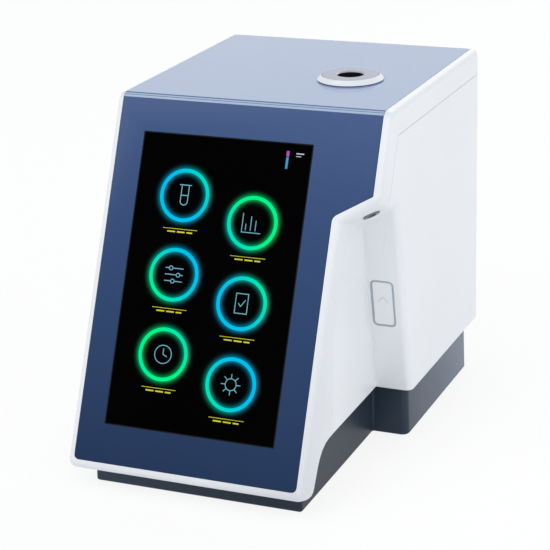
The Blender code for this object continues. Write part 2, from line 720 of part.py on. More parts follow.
def build_covers(shell, slope):
    """Side covers cut from the shell behind the seam, and the flat rear cover."""
    path = seam_path(GAP / 2)
    behind = path + [(REAR_END + OVERRUN, -OVERRUN)]
    rear_gap = GAP / 2
    bounds = {
        "left_cover": [(-WIDTH, -DEPTH), (-REAR_SEAM_X - rear_gap, -DEPTH), (-REAR_SEAM_X - rear_gap, DEPTH),
                       (-WIDTH, DEPTH)],
        "right_cover": [(NICHE_X - 2 * WALL, -DEPTH), (WIDTH, -DEPTH), (WIDTH, DEPTH),
                        (REAR_SEAM_X + rear_gap, DEPTH), (REAR_SEAM_X + rear_gap, REAR_END - OVERRUN),
                        (NICHE_X - 2 * WALL, REAR_END - OVERRUN)]}
    covers = {}
    for name, outline in bounds.items():
        cover = copy_part(shell, name, "white_plastic")
        combine(cover, lambda mesh: add_prism(mesh, behind, "X", -WIDTH, WIDTH), "INTERSECT")
        combine(cover, lambda mesh, plan=outline: add_prism(mesh, plan, "Z", -OVERRUN, DEPTH), "INTERSECT")
        covers[name] = cover
    hole = circle(OUTLET_RADIUS + GAP, (NEEDLE_X, NEEDLE_DEPTH))
    combine(covers["right_cover"], lambda mesh: add_prism(mesh, hole, "Z", OUTLET_RADIUS, DEPTH),
            frame=slope)
    slot = rectangle(-START_WIDTH / 2, START_WIDTH / 2, -START_HEIGHT / 2, START_HEIGHT / 2, START_RADIUS)
    wall_frame = start_frame("start_cutter_frame")
    combine(covers["right_cover"], lambda mesh: add_prism(mesh, slot, "Y", -OVERRUN, OVERRUN),
            frame=wall_frame)
    bpy.data.objects.remove(wall_frame)


def start_frame(name):
    """Frame on the niche's back wall, with Y pointing into the wall."""
    return make_frame(name, (START_X, niche_wall_y(START_CENTRE_HEIGHT), START_CENTRE_HEIGHT),
                      tilt=NICHE_WALL_LEAN)


def build_panels(slope):
    """Blue front panel with its brow, touch glass in its window, and blue top panel."""
    half_panel = HALF_WIDTH - PANEL_EDGE_INSET
    path = panel_path(0.0, 0.0)
    brow_end = path[2][0]
    front_path = path[:3] + [(brow_end + PANEL_THICKNESS, DECK_HEIGHT)]
    front = make("front_panel", "blue_gloss",
                 lambda mesh: panel_band(mesh, front_path, 0.0, PANEL_THICKNESS, half_panel))
    combine(front, lambda mesh: add_box(mesh, (-WIDTH, WIDTH), (brow_end, brow_end + OVERRUN),
                                        (DECK_HEIGHT - OVERRUN, DECK_HEIGHT + OVERRUN)))
    combine(front, jog_block, frame=slope)
    screen = (SCREEN_X - SCREEN_WIDTH / 2, SCREEN_X + SCREEN_WIDTH / 2,
              SCREEN_BOTTOM_RISE, SCREEN_BOTTOM_RISE + SCREEN_HEIGHT)
    combine(front, lambda mesh: add_prism(mesh, rectangle(*screen), "Y", -OVERRUN, OVERRUN), frame=slope)
    round_panel(front, slope)
    top_start = (brow_end + PANEL_GROOVE, DECK_HEIGHT)
    top = make("top_panel", "blue_gloss",
               lambda mesh: panel_band(mesh, [top_start, path[3]], 0.0, PANEL_THICKNESS, half_panel))
    hole = circle(PORT_NECK_RADIUS + GAP, (PORT_X, PORT_Y), FINE_SIDES)
    combine(top, lambda mesh: add_prism(mesh, hole, "Z", DECK_HEIGHT - OVERRUN, DECK_HEIGHT + OVERRUN))
    round_panel(top)

    def glass(mesh):
        low_x, high_x, low_rise, high_rise = screen
        add_box(mesh, (low_x + GAP, high_x - GAP), (0.0, PANEL_THICKNESS), (low_rise + GAP, high_rise - GAP))
    make("touch_glass", "black_glass", glass, frame=slope)

    lcd_front = PANEL_THICKNESS + GAP
    lcd_back = lcd_front + LCD_THICKNESS

    def lcd(mesh):
        low_x, high_x, low_rise, high_rise = screen
        add_box(mesh, (low_x - LCD_BORDER, high_x + LCD_BORDER), (lcd_front, lcd_back),
                (low_rise - LCD_BORDER, high_rise + LCD_BORDER))
    display = make("display_module", "zinc_sheet", lcd, frame=slope)

    def driver(mesh):
        low_x, high_x, low_rise, high_rise = screen
        add_box(mesh, (low_x + SCREEN_WIDTH / 4, high_x - SCREEN_WIDTH / 4),
                (lcd_back - LCD_THICKNESS / 2, lcd_back + LCD_THICKNESS / 2),
                (low_rise + SCREEN_HEIGHT / 4, high_rise - SCREEN_HEIGHT / 4))
    combine(display, driver, "UNION", slope)


# Base

def base_outline(height, shift, front_shift):
    """Plan of the base at a height, its walls moved inwards, stepped round the niche."""
    left = BASE_LEFT_INSET + shift - HALF_WIDTH
    right = HALF_WIDTH - BASE_INSET - shift
    front = base_front() + front_shift
    rear = REAR_END - BASE_INSET - shift
    step_x = NICHE_X - BASE_INSET - shift
    step_y = FRONT_END + NICHE_WALL_FOOT_BACK + BASE_STEP_INSET + shift
    corner = max(BASE_RADIUS - shift, GAP)
    front_corner = max(BASE_FRONT_RADIUS - shift, GAP)
    step_corner = max(BASE_STEP_RADIUS + shift, GAP)
    corners = [(left, front, front_corner), (step_x, front, front_corner), (step_x, step_y, step_corner),
               (right, step_y, corner), (right, rear, corner), (left, rear, corner)]
    return [(x, y, height) for x, y in rounded(corners)]


def boss_places():
    """Where the chassis and the rubber feet are fixed to the base."""
    left = BASE_LEFT_INSET + FOOT_INSET - HALF_WIDTH
    step_x = NICHE_X - BASE_INSET - FOOT_INSET
    right = HALF_WIDTH - BASE_INSET - FOOT_INSET
    front = FRONT_END + FLOOR_FRONT_BACK + BOSS_RADIUS
    rear = REAR_END - BASE_INSET - FOOT_INSET
    return [(left, front), (step_x, front), (left, rear), (right, rear)]


def build_base():
    """Dark tray under the housing, its bosses, and the rubber feet."""
    rounding = FOOT_DROP
    inside = BASE_DRAFT + BASE_WALL
    front_inside = BASE_COVE + BASE_WALL

    def tray(mesh):
        add_loft(mesh, [
            base_outline(FOOT_DROP, rounding, rounding),
            base_outline(FOOT_DROP + rounding, 0.0, 0.0),
            base_outline(SKIRT_HEIGHT - BASE_FLARE_DROP, BASE_DRAFT, BASE_DRAFT),
            base_outline(SKIRT_HEIGHT, -BASE_FLARE, BASE_COVE),
            base_outline(BASE_TOP, -BASE_FLARE, BASE_COVE),
            base_outline(BASE_TOP, inside, front_inside),
            base_outline(FOOT_DROP + BASE_WALL, inside, front_inside)])
    base = make("base_tray", "slate_plastic", tray, smooth=True)
    low_x = BASE_LEFT_INSET + BASE_RADIUS - HALF_WIDTH
    high_x = NICHE_X - BASE_INSET - BASE_RADIUS
    front_span = (FRONT_END - OVERRUN, base_front() + BASE_COVE + 2 * BASE_WALL)
    combine(base, lambda mesh: add_box(mesh, (low_x, high_x), front_span,
                                       (SKIRT_HEIGHT - BASE_FRONT_DROP, BASE_TOP + OVERRUN)))
    places = boss_places()
    for place_xy in places:
        outline = circle(BOSS_RADIUS, place_xy)
        combine(base, lambda mesh, plan=outline: add_prism(mesh, plan, "Z", FOOT_DROP + BASE_WALL / 2,
                                                           FLOOR_HEIGHT - GAP), "UNION")

    def foot(mesh):
        add_turned(mesh, [(0.0, 0.0), (FOOT_RADIUS - GAP, 0.0), (FOOT_RADIUS, FOOT_DROP - GAP),
                          (0.0, FOOT_DROP - GAP)])
    for number, place_xy in enumerate(places, 1):
        make("rubber_foot_%d" % number, "rubber", foot, at=(*place_xy, 0.0), smooth=True)


# Tube port

def build_port():
    """Raised ring on the top panel, the adapter that lifts out of it, and the fixed tube cup."""
    recess_radius = PORT_TOP_RADIUS - GAP
    recess_floor = PORT_RISE - ADAPTER_FLANGE - GAP
    neck_bore = PORT_NECK_RADIUS - PORT_NECK_WALL

    def ring(mesh):
        add_turned(mesh, [(neck_bore, -PORT_NECK_LENGTH), (PORT_NECK_RADIUS, -PORT_NECK_LENGTH),
                          (PORT_NECK_RADIUS, GAP), (PORT_LIP_RADIUS - PORT_LIP_LIFT, GAP),
                          (PORT_LIP_RADIUS, PORT_LIP_LIFT), (PORT_TOP_RADIUS, PORT_RISE),
                          (recess_radius, PORT_RISE), (recess_radius, recess_floor),
                          (neck_bore, recess_floor)], FINE_SIDES)
    make("port_ring", "white_plastic", ring, at=(PORT_X, PORT_Y, DECK_HEIGHT), smooth=True)
    sleeve_radius = ADAPTER_BORE + ADAPTER_WALL
    disc_radius = recess_radius - GAP
    disc_under = PORT_RISE - ADAPTER_FLANGE

    def adapter(mesh):
        add_turned(mesh, [(ADAPTER_BORE, disc_under - ADAPTER_LENGTH),
                          (sleeve_radius, disc_under - ADAPTER_LENGTH), (sleeve_radius, disc_under),
                          (disc_radius, disc_under), (disc_radius, PORT_RISE),
                          (ADAPTER_BORE + ADAPTER_LEAD_IN, PORT_RISE),
                          (ADAPTER_BORE, PORT_RISE - ADAPTER_LEAD_IN)], FINE_SIDES)
    make("tube_adapter", "grey_plastic", adapter, at=(PORT_X, PORT_Y, DECK_HEIGHT), smooth=True)

    cup_bore = sleeve_radius + GAP
    cup_radius = cup_bore + CUP_WALL
    cup_top = DECK_HEIGHT - CUP_TOP_DROP
    cup_bottom = cup_top - CUP_LENGTH
    flange_under = WEB_TOP + GAP

    def cup(mesh):
        rim = cup_radius + CUP_FLANGE
        add_turned(mesh, [(HUB_RADIUS, cup_bottom), (cup_radius, cup_bottom), (cup_radius, flange_under),
                          (rim, flange_under), (rim, flange_under + SHEET),
                          (cup_radius, flange_under + SHEET), (cup_radius, cup_top), (cup_bore, cup_top),
                          (cup_bore, cup_bottom + CUP_FLOOR), (HUB_RADIUS, cup_bottom + CUP_FLOOR)], 24)
    make("tube_cup", "grey_plastic", cup, at=(PORT_X, PORT_Y, 0.0), smooth=True)
    return cup_radius


# Chassis

def build_chassis(cup_radius):
    """Sheet metal floor, upright web and deck, in one welded piece."""
    left = FLOOR_SIDE_INSET - HALF_WIDTH
    right = HALF_WIDTH - FLOOR_SIDE_INSET
    front = FRONT_END + FLOOR_FRONT_BACK
    rear = REAR_END - FLOOR_REAR_INSET
    step_x = NICHE_X - FLOOR_SIDE_INSET
    step_y = FRONT_END + NICHE_WALL_FOOT_BACK + FLOOR_SIDE_INSET
    web_front = FRONT_END + WEB_FRONT_BACK
    deck_front = front_y(WEB_TOP, SAMPLER_SPINDLE_DEPTH + BACK_PLATE_OFFSET + PLATE) + GAP

    def floor(mesh):
        add_prism(mesh, [(left, front), (step_x, front), (step_x, step_y), (right, step_y), (right, rear),
                         (left, rear)], "Z", FLOOR_HEIGHT, FLOOR_TOP)
    chassis = make("chassis_frame", "zinc_sheet", floor)
    combine(chassis, lambda mesh: add_box(mesh, (WEB_X, WEB_X + SHEET), (web_front, rear),
                                          (FLOOR_HEIGHT + SHEET / 2, WEB_TOP - SHEET / 2)), "UNION")
    combine(chassis, lambda mesh: add_box(mesh, (DECK_LEFT_INSET - HALF_WIDTH, right), (deck_front, rear),
                                          (WEB_TOP - SHEET, WEB_TOP)), "UNION")
    hole = circle(cup_radius + GAP, (PORT_X, PORT_Y), 24)
    combine(chassis, lambda mesh: add_prism(mesh, hole, "Z", WEB_TOP - 2 * SHEET, WEB_TOP + SHEET))

    def spacers(mesh):
        for along_share in (0.07, 0.93):
            for up_share in (0.05, 0.95):
                spot = (BOARD_Y + along_share * BOARD_LENGTH,
                        FLOOR_TOP + BOARD_LIFT + up_share * BOARD_HEIGHT)
                add_prism(mesh, circle(SPACER_RADIUS, spot, 6), "X", WEB_X + SHEET / 2,
                          WEB_RIGHT + SPACER_LENGTH)
    combine(chassis, spacers, "UNION")


# Slide units

def drive_layout(tool_x, tool_y, span, tool_hole_plate):
    return {"tool_x": tool_x, "tool_y": tool_y, "span": span, "tool_hole_plate": tool_hole_plate}


def build_drive(unit, frame, layout, parked, tool_radius):
    """Bracket, motor, spindle, guide rods and carriage of one slide unit, along the frame's Z."""
    tool_x, tool_y, span = layout["tool_x"], layout["tool_y"], layout["span"]
    low_x = -MOTOR_SIZE / 2
    high_x = max(tool_x, ROD_PITCH) + CARRIAGE_MARGIN + RUNNING_CLEARANCE
    low_y = min(-CARRIAGE_HALF_DEPTH, tool_y - CARRIAGE_MARGIN) - RUNNING_CLEARANCE
    back = BACK_PLATE_OFFSET
    top = 2 * PLATE + span
    section = [(low_y, 0.0), (back + PLATE, 0.0), (back + PLATE, top), (low_y, top), (low_y, top - PLATE),
               (back, top - PLATE), (back, PLATE), (low_y, PLATE)]
    bracket = make(unit + "_bracket", "zinc_sheet",
                   lambda mesh: add_prism(mesh, section, "X", low_x, high_x), frame=frame)
    spindle_hole = circle(SPINDLE_RADIUS + RUNNING_CLEARANCE, sides=ROUND_SIDES)
    combine(bracket, lambda mesh: add_prism(mesh, spindle_hole, "Z", -PLATE, 2 * PLATE), frame=frame)
    tool_level = {"bottom": 0.0, "top": top - PLATE}[layout["tool_hole_plate"]]
    tool_hole = circle(HUB_RADIUS + RUNNING_CLEARANCE, (tool_x, tool_y))
    combine(bracket, lambda mesh: add_prism(mesh, tool_hole, "Z", tool_level - PLATE,
                                            tool_level + 2 * PLATE), frame=frame)

    def motor(mesh):
        half = MOTOR_SIZE / 2
        corner = half / 6
        add_prism(mesh, rectangle(-half, half, -half, half, corner), "Z", -GAP - MOTOR_LENGTH, -GAP)
    make(unit + "_motor", "dark_plastic", motor, frame=frame)

    def spindle(mesh):
        add_prism(mesh, circle(SPINDLE_RADIUS, sides=12), "Z", 0.0, top - PLATE - GAP)
    make(unit + "_spindle", "steel", spindle, frame=frame, smooth=True)

    def rod(mesh):
        add_prism(mesh, circle(ROD_RADIUS, (ROD_PITCH, 0.0), 12), "Z", PLATE + GAP, top - PLATE - GAP)
    make(unit + "_guide_rod", "steel", rod, frame=frame, smooth=True)

    def block(mesh):
        half = CARRIAGE_HALF_DEPTH
        arm_low = min(-half, tool_y - CARRIAGE_MARGIN)
        outline = [(-half, -half), (tool_x - CARRIAGE_MARGIN, -half), (tool_x - CARRIAGE_MARGIN, arm_low),
                   (tool_x + CARRIAGE_MARGIN, arm_low), (tool_x + CARRIAGE_MARGIN, half), (-half, half)]
        outline = list(dict.fromkeys(outline))
        add_prism(mesh, outline, "Z", 0.0, CARRIAGE_HEIGHT)
    carriage = make(unit + "_carriage", "grey_plastic", block, at=(0.0, 0.0, parked), frame=frame)
    holes = [(SPINDLE_RADIUS, 0.0, 0.0), (ROD_RADIUS, ROD_PITCH, 0.0), (tool_radius, tool_x, tool_y)]
    for radius, x, y in holes:
        bore = circle(radius + RUNNING_CLEARANCE, (x, y), 12)
        combine(carriage, lambda mesh, plan=bore: add_prism(mesh, plan, "Z", -OVERRUN, OVERRUN + span),
                frame=frame)
    return carriage


def build_sampler(slope):
    """Open-tube needle that comes down out of the niche's ceiling, parallel to the front."""
    frame = make_frame("sampler_frame", (SAMPLER_SPINDLE_X, SAMPLER_SPINDLE_DEPTH, SAMPLER_SEAT_RISE))
    frame.parent = slope
    layout = drive_layout(NEEDLE_X - SAMPLER_SPINDLE_X, NEEDLE_DEPTH - SAMPLER_SPINDLE_DEPTH,
                          SAMPLER_SPAN, "bottom")
    parked = PLATE + SAMPLER_SPAN - CARRIAGE_HEIGHT - RUNNING_CLEARANCE
    build_drive("sampler", frame, layout, parked, NEEDLE_RADIUS)
    tip = -SAMPLER_TIP_CLEAR - parked

    def needle(mesh):
        crown = CARRIAGE_HEIGHT
        add_turned(mesh, [(0.0, tip - 2 * NEEDLE_RADIUS), (NEEDLE_RADIUS, tip), (NEEDLE_RADIUS, crown - GAP),
                          (0.0, crown - GAP)], 10)
    make("sampler_needle", "steel", needle, at=(layout["tool_x"], layout["tool_y"], parked), frame=frame,
         smooth=True)

    def bush(mesh):
        middle = ceiling_rise() - SAMPLER_SEAT_RISE
        low, high = middle - OUTLET_LENGTH, middle + OUTLET_LENGTH
        add_turned(mesh, [(OUTLET_BORE, low), (OUTLET_RADIUS, low), (OUTLET_RADIUS, high),
                          (OUTLET_BORE, high)], 24)
    outlet = make("needle_outlet", "grey_plastic", bush, at=(layout["tool_x"], layout["tool_y"], 0.0),
                  frame=frame, smooth=True)
    combine(outlet, lambda mesh: niche_space(mesh, -OUTLET_RISE))


def ceiling_rise():
    """Rise of the niche's ceiling where the needle passes it."""
    low, high = NICHE_TOP_RISE / 2, NICHE_TOP_RISE * 2
    for _ in range(40):
        middle = (low + high) / 2
        y, z = slope_point(middle, NEEDLE_DEPTH)
        low, high = (middle, high) if z < ceiling_height(NEEDLE_X, y) else (low, middle)
    return low


def build_piercer():
    """Needle that pierces a closed tube's stopper from below, under the tube cup."""
    spindle_x = WEB_RIGHT + BACK_PLATE_OFFSET + PLATE
    reach = NEEDLE_X - SAMPLER_SPINDLE_X
    frame = make_frame("piercer_frame", (spindle_x, PORT_Y - reach, PIERCER_SEAT_HEIGHT), turn=math.pi / 2)
    layout = drive_layout(reach, spindle_x - PORT_X, PIERCER_SPAN, "top")
    parked = PLATE + RUNNING_CLEARANCE
    build_drive("piercer", frame, layout, parked, NEEDLE_RADIUS)
    tip = PIERCER_NEEDLE_TOP - PIERCER_SEAT_HEIGHT - parked

    def needle(mesh):
        add_turned(mesh, [(0.0, GAP), (NEEDLE_RADIUS, GAP), (NEEDLE_RADIUS, tip - 2 * NEEDLE_RADIUS),
                          (0.0, tip)], 10)
    make("piercer_needle", "steel", needle, at=(layout["tool_x"], layout["tool_y"], parked), frame=frame,
         smooth=True)


def build_syringe():
    """Dosing syringe: glass barrel standing on the drive's top plate, plunger on its carriage."""
    frame = make_frame("syringe_frame",
                       (WEB_LEFT - BACK_PLATE_OFFSET - PLATE, SYRINGE_Y, SYRINGE_SEAT_HEIGHT),
                       turn=-math.pi / 2)
    layout = drive_layout(SYRINGE_REACH, 0.0, SYRINGE_SPAN, "top")
    parked = PLATE + RUNNING_CLEARANCE
    build_drive("syringe", frame, layout, parked, PLUNGER_ROD_RADIUS)
    seat = 2 * PLATE + SYRINGE_SPAN + GAP
    piston_low = seat + BARREL_WALL - parked

    def plunger(mesh):
        add_turned(mesh, [(0.0, GAP), (PLUNGER_ROD_RADIUS, GAP), (PLUNGER_ROD_RADIUS, piston_low),
                          (PISTON_RADIUS, piston_low), (PISTON_RADIUS, piston_low + PISTON_LENGTH),
                          (0.0, piston_low + PISTON_LENGTH)], 16)
    make("syringe_plunger", "steel", plunger, at=(SYRINGE_REACH, 0.0, parked), frame=frame, smooth=True)
    bore = PISTON_RADIUS + GAP
    outside = bore + BARREL_WALL
    top = seat + SYRINGE_SPAN

    def barrel(mesh):
        add_turned(mesh, [(bore, seat), (outside, seat), (outside, top - BARREL_WALL),
                          (PLUNGER_ROD_RADIUS + BARREL_WALL, top), (PLUNGER_ROD_RADIUS, top),
                          (PLUNGER_ROD_RADIUS, top - BARREL_WALL), (bore, top - 2 * BARREL_WALL)], 16)
    make("syringe_barrel", "clear_plastic", barrel, at=(SYRINGE_REACH, 0.0, 0.0), frame=frame, smooth=True)


# Start plate

def build_start_plate():
    """Start plate in the niche's back wall, and the switch behind it."""
    frame = start_frame("start_frame")

    def plate(mesh):
        half_width = START_WIDTH / 2 - START_GROOVE
        half_height = START_HEIGHT / 2 - START_GROOVE
        outline = rectangle(-half_width, half_width, -half_height, half_height,
                            START_RADIUS - START_GROOVE)
        add_prism(mesh, outline, "Y", 0.0, START_THICKNESS)
    make("start_plate", "white_plastic", plate, frame=frame)
    face = START_THICKNESS + START_TRAVEL + GAP

    def switch(mesh):
        half = SWITCH_SIZE / 2
        slot = START_HEIGHT / 2 + SHEET
        reach = slot + half
        back = face + SWITCH_SIZE
        seat = WALL + GAP
        upper = [(face, half), (back - SHEET, half), (back - SHEET, slot), (seat, slot), (seat, reach),
                 (back, reach)]
        add_prism(mesh, upper + [(y, -z) for y, z in upper[::-1]], "X", -half, half)
    make("start_switch", "dark_plastic", switch, frame=frame)


# Fluid parts

def web_block(name, finish, depth, y_span, z_span):
    """Block seated on the left face of the web."""
    return make(name, finish, lambda mesh: add_box(mesh, (WEB_LEFT - depth, WEB_LEFT), y_span, z_span))


def span_from(start, length):
    return (start, start + length)


def build_fluid_parts():
    manifold_z = FLOOR_TOP + MANIFOLD_LIFT
    web_block("valve_manifold", "clear_plastic", MANIFOLD_DEPTH, span_from(FLUID_Y, FLUID_LENGTH),
              span_from(manifold_z, MANIFOLD_HEIGHT))

    face = WEB_LEFT - MANIFOLD_DEPTH - GAP

    def coils(mesh):
        count = int(FLUID_LENGTH / COIL_PITCH)
        for i in range(count):
            spot = (FLUID_Y + FLUID_LENGTH * (i + 0.5) / count, manifold_z + MANIFOLD_HEIGHT / 2)
            add_prism(mesh, circle(COIL_RADIUS, spot), "X", face - COIL_LENGTH, face - COIL_YOKE / 2)

    def yoke(mesh):
        add_box(mesh, (face - COIL_YOKE, face), span_from(FLUID_Y, FLUID_LENGTH),
                span_from(manifold_z, MANIFOLD_HEIGHT))
    combine(make("valve_coils", "dark_plastic", yoke), coils, "UNION")

    chamber_z = FLOOR_TOP + CHAMBER_LIFT
    chambers = web_block("mixing_chambers", "clear_plastic", CHAMBER_DEPTH,
                         span_from(CHAMBER_Y, CHAMBER_LENGTH), span_from(chamber_z, CHAMBER_HEIGHT))
    for share in (0.27, 0.73):
        bore = circle(CHAMBER_BORE, (WEB_LEFT - CHAMBER_DEPTH / 2, CHAMBER_Y + share * CHAMBER_LENGTH))
        combine(chambers, lambda mesh, plan=bore: add_prism(mesh, plan, "Z", chamber_z + CHAMBER_FLOOR,
                                                            chamber_z + CHAMBER_HEIGHT + OVERRUN))
    web_block("counting_chamber", "clear_plastic", COUNTER_DEPTH,
              span_from(FLUID_Y, COUNTER_LENGTH_SHARE * FLUID_LENGTH), span_from(chamber_z, COUNTER_HEIGHT))
    build_pump()


def build_pump():
    """Roller pump: motor on the web, open head, and a rotor that carries free rollers."""
    centre = (PUMP_Y, PUMP_HEIGHT)
    motor_end = WEB_LEFT - PUMP_MOTOR_LENGTH
    can = circle(PUMP_MOTOR_RADIUS, centre, 20)
    make("pump_motor", "steel", lambda mesh: add_prism(mesh, can, "X", motor_end, WEB_LEFT), smooth=True)
    head_back = motor_end - GAP
    head_front = head_back - PUMP_HEAD_LENGTH

    def head(mesh):
        add_turned(mesh, [(0.0, head_back), (PUMP_HEAD_RADIUS, head_back), (PUMP_HEAD_RADIUS, head_front),
                          (PUMP_HEAD_BORE, head_front), (PUMP_HEAD_BORE, head_back - PUMP_HEAD_FLOOR),
                          (0.0, head_back - PUMP_HEAD_FLOOR)], 24, "X", centre)
    make("pump_head", "grey_plastic", head, smooth=True)
    rotor_back = head_back - PUMP_HEAD_FLOOR - GAP
    front_cheek = head_front + ROTOR_CHEEK
    back_cheek = rotor_back - ROTOR_CHEEK

    def rotor(mesh):
        add_turned(mesh, [(0.0, 0.0), (ROTOR_RADIUS, 0.0), (ROTOR_RADIUS, -ROTOR_CHEEK),
                          (ROTOR_HUB_RADIUS, -ROTOR_CHEEK), (ROTOR_HUB_RADIUS, front_cheek - rotor_back),
                          (ROTOR_RADIUS, front_cheek - rotor_back), (ROTOR_RADIUS, head_front - rotor_back),
                          (0.0, head_front - rotor_back)], 20, "X")
    part = make("pump_rotor", "aluminium", rotor, at=(rotor_back, *centre), smooth=True)
    for i in range(ROLLER_COUNT):
        turn = 2 * math.pi * i / ROLLER_COUNT
        spot = (centre[0] + ROLLER_CIRCLE * math.cos(turn), centre[1] + ROLLER_CIRCLE * math.sin(turn))
        pin = circle(ROLLER_PIN_RADIUS, spot, 10)
        combine(part, lambda mesh, plan=pin: add_prism(mesh, plan, "X", front_cheek - ROTOR_CHEEK / 2,
                                                       back_cheek + ROTOR_CHEEK / 2), "UNION")

        def roller(mesh):
            low, high = front_cheek + GAP, back_cheek - GAP
            middle = (low + high) / 2
            add_turned(mesh, [(ROLLER_BORE, low - middle), (ROLLER_RADIUS, low - middle),
                              (ROLLER_RADIUS, high - middle), (ROLLER_BORE, high - middle)], 12, "X")
        make("pump_roller_%d" % (i + 1), "grey_plastic", roller,
             at=((front_cheek + back_cheek) / 2, *spot), smooth=True)


# Electrics

def build_electrics():
    board_z = FLOOR_TOP + BOARD_LIFT
    face = WEB_RIGHT + SPACER_LENGTH + GAP
    back = face + BOARD_THICKNESS

    board = make("main_board", "circuit_board",
                 lambda mesh: add_box(mesh, (face, back), span_from(BOARD_Y, BOARD_LENGTH),
                                      span_from(board_z, BOARD_HEIGHT)))

    def chips(mesh):
        chip_shares = ((0.3, 0.3, 0.2), (0.7, 0.35, 0.14), (0.35, 0.7, 0.12), (0.7, 0.72, 0.24))
        for along, up, size in chip_shares:
            y = BOARD_Y + along * BOARD_LENGTH
            z = board_z + up * BOARD_HEIGHT
            half = size * BOARD_LENGTH / 2
            add_box(mesh, (back - BOARD_THICKNESS / 2, back + CHIP_HEIGHT), (y - half, y + half),
                    (z - half, z + half))
    combine(board, chips, "UNION")
    supply_end = REAR_END - FLOOR_REAR_INSET
    make("power_supply", "zinc_sheet",
         lambda mesh: add_box(mesh, (SUPPLY_X - SUPPLY_WIDTH / 2, SUPPLY_X + SUPPLY_WIDTH / 2),
                              (supply_end - SUPPLY_LENGTH, supply_end - GAP),
                              span_from(FLOOR_TOP + GAP, SUPPLY_HEIGHT)))


# Rear

def build_rear():
    """Rear cover with its vents and cut-outs, and everything that is mounted on it."""
    half = REAR_SEAM_X - GAP / 2
    top = SEAM_HEIGHT - GAP / 2

    def plate(mesh):
        add_prism(mesh, rectangle(-half, half, SKIRT_HEIGHT, top), "Y", REAR_INNER, REAR_FACE)
    cover = make("rear_cover", "white_plastic", plate)
    first_slot = FAN_HEIGHT - SLOT_PITCH * (SLOT_COUNT - 1) / 2
    vent_width = 2 * FAN_BORE

    def slots(mesh):
        for i in range(SLOT_COUNT):
            z = first_slot + i * SLOT_PITCH
            offset = abs(z - FAN_HEIGHT)
            reach = math.sqrt(vent_width * vent_width / 4 - offset * offset)
            outline = rectangle(FAN_X - reach, FAN_X + reach, z - SLOT_HEIGHT / 2, z + SLOT_HEIGHT / 2)
            add_prism(mesh, outline, "Y", REAR_INNER - OVERRUN, REAR_FACE + OVERRUN)
    combine(cover, slots)
    for centre_x, centre_z, width, height in rear_cutouts():
        half_x, half_z = width / 2 + GAP, height / 2 + GAP
        combine(cover, lambda mesh, x=centre_x, z=centre_z, w=half_x, h=half_z:
                add_box(mesh, (x - w, x + w), (REAR_INNER - OVERRUN, REAR_FACE + OVERRUN), (z - h, z + h)))
    build_fan()
    build_bay()
    build_inlet_and_switch()
    build_sockets()


def rear_cutouts():
    """Centre x, centre z, width and height of each cut-out in the rear cover."""
    cutouts = [(BAY_X, BAY_CENTRE_HEIGHT, BAY_WIDTH, BAY_HEIGHT),
               (INLET_X, SKIRT_HEIGHT + INLET_LIFT, INLET_WIDTH, INLET_HEIGHT),
               (INLET_X, SKIRT_HEIGHT + ROCKER_LIFT, switch_width(), switch_height())]
    for z, width, height in socket_rows():
        cutouts.append((PORTS_X, z, width, height))
    return cutouts


def switch_width():
    return ROCKER_WIDTH + 2 * (SWITCH_WALL + GAP)


def switch_height():
    return ROCKER_HEIGHT + 2 * (SWITCH_WALL + GAP)


def socket_rows():
    """Height, outer width and outer height of the two small sockets and the network socket."""
    start = SKIRT_HEIGHT + PORTS_LIFT
    usb = (USB_WIDTH + 2 * SOCKET_WALL, USB_HEIGHT + 2 * SOCKET_WALL)
    lan = (LAN_WIDTH + 2 * SOCKET_WALL, LAN_HEIGHT + 2 * SOCKET_WALL)
    return [(start, *usb), (start + SOCKET_SPACING, *usb),
            (start + 2 * SOCKET_SPACING + (lan[1] - usb[1]) / 2, *lan)]


def build_fan():
    """Fan frame seated on the rear cover's inner face, with its rotor on the frame's axis."""
    back = REAR_INNER - GAP
    front = back - FAN_THICKNESS
    half = FAN_SIZE / 2

    def housing(mesh):
        outline = rectangle(FAN_X - half, FAN_X + half, FAN_HEIGHT - half, FAN_HEIGHT + half, half / 8)
        add_prism(mesh, outline, "Y", front, back)
    frame = make("fan_frame", "dark_plastic", housing)
    bore = circle(FAN_BORE, (FAN_X, FAN_HEIGHT), 32)
    combine(frame, lambda mesh: add_prism(mesh, bore, "Y", front - OVERRUN, back + OVERRUN))
    spider_depth = 2 * FAN_BLADE_THICKNESS
    for span_x, span_z in ((half - SHEET, FAN_SPIDER_WIDTH / 2), (FAN_SPIDER_WIDTH / 2, half - SHEET)):
        combine(frame, lambda mesh, x=span_x, z=span_z:
                add_box(mesh, (FAN_X - x, FAN_X + x), (front, front + spider_depth),
                        (FAN_HEIGHT - z, FAN_HEIGHT + z)), "UNION")
    rotor_front = front + spider_depth + GAP
    rotor_length = back - 2 * GAP - rotor_front
    hub = [(0.0, 0.0), (FAN_HUB_RADIUS, 0.0), (FAN_HUB_RADIUS, rotor_length), (0.0, rotor_length)]
    part = make("fan_rotor", "dark_plastic", lambda mesh: add_turned(mesh, hub, 20, "Y"),
                at=(FAN_X, rotor_front, FAN_HEIGHT), smooth=True)
    tip = FAN_BORE - 2 * RUNNING_CLEARANCE
    root = FAN_HUB_RADIUS * 0.8

    def blades(mesh):
        for i in range(FAN_BLADE_COUNT):
            turn = 2 * math.pi * i / FAN_BLADE_COUNT
            rings = []
            for radius in (root, tip):
                corners = []
                for share, side in ((0.1, -0.5), (0.9, -0.5), (0.9, 0.5), (0.1, 0.5)):
                    sweep = turn + FAN_BLADE_TURN * share + side * FAN_BLADE_THICKNESS / radius
                    corners.append((FAN_X + radius * math.cos(sweep), rotor_front + rotor_length * share,
                                    FAN_HEIGHT + radius * math.sin(sweep)))
                rings.append(corners)
            add_loft(mesh, rings)
        bmesh.ops.triangulate(mesh, faces=mesh.faces)
    combine(part, blades, "UNION")


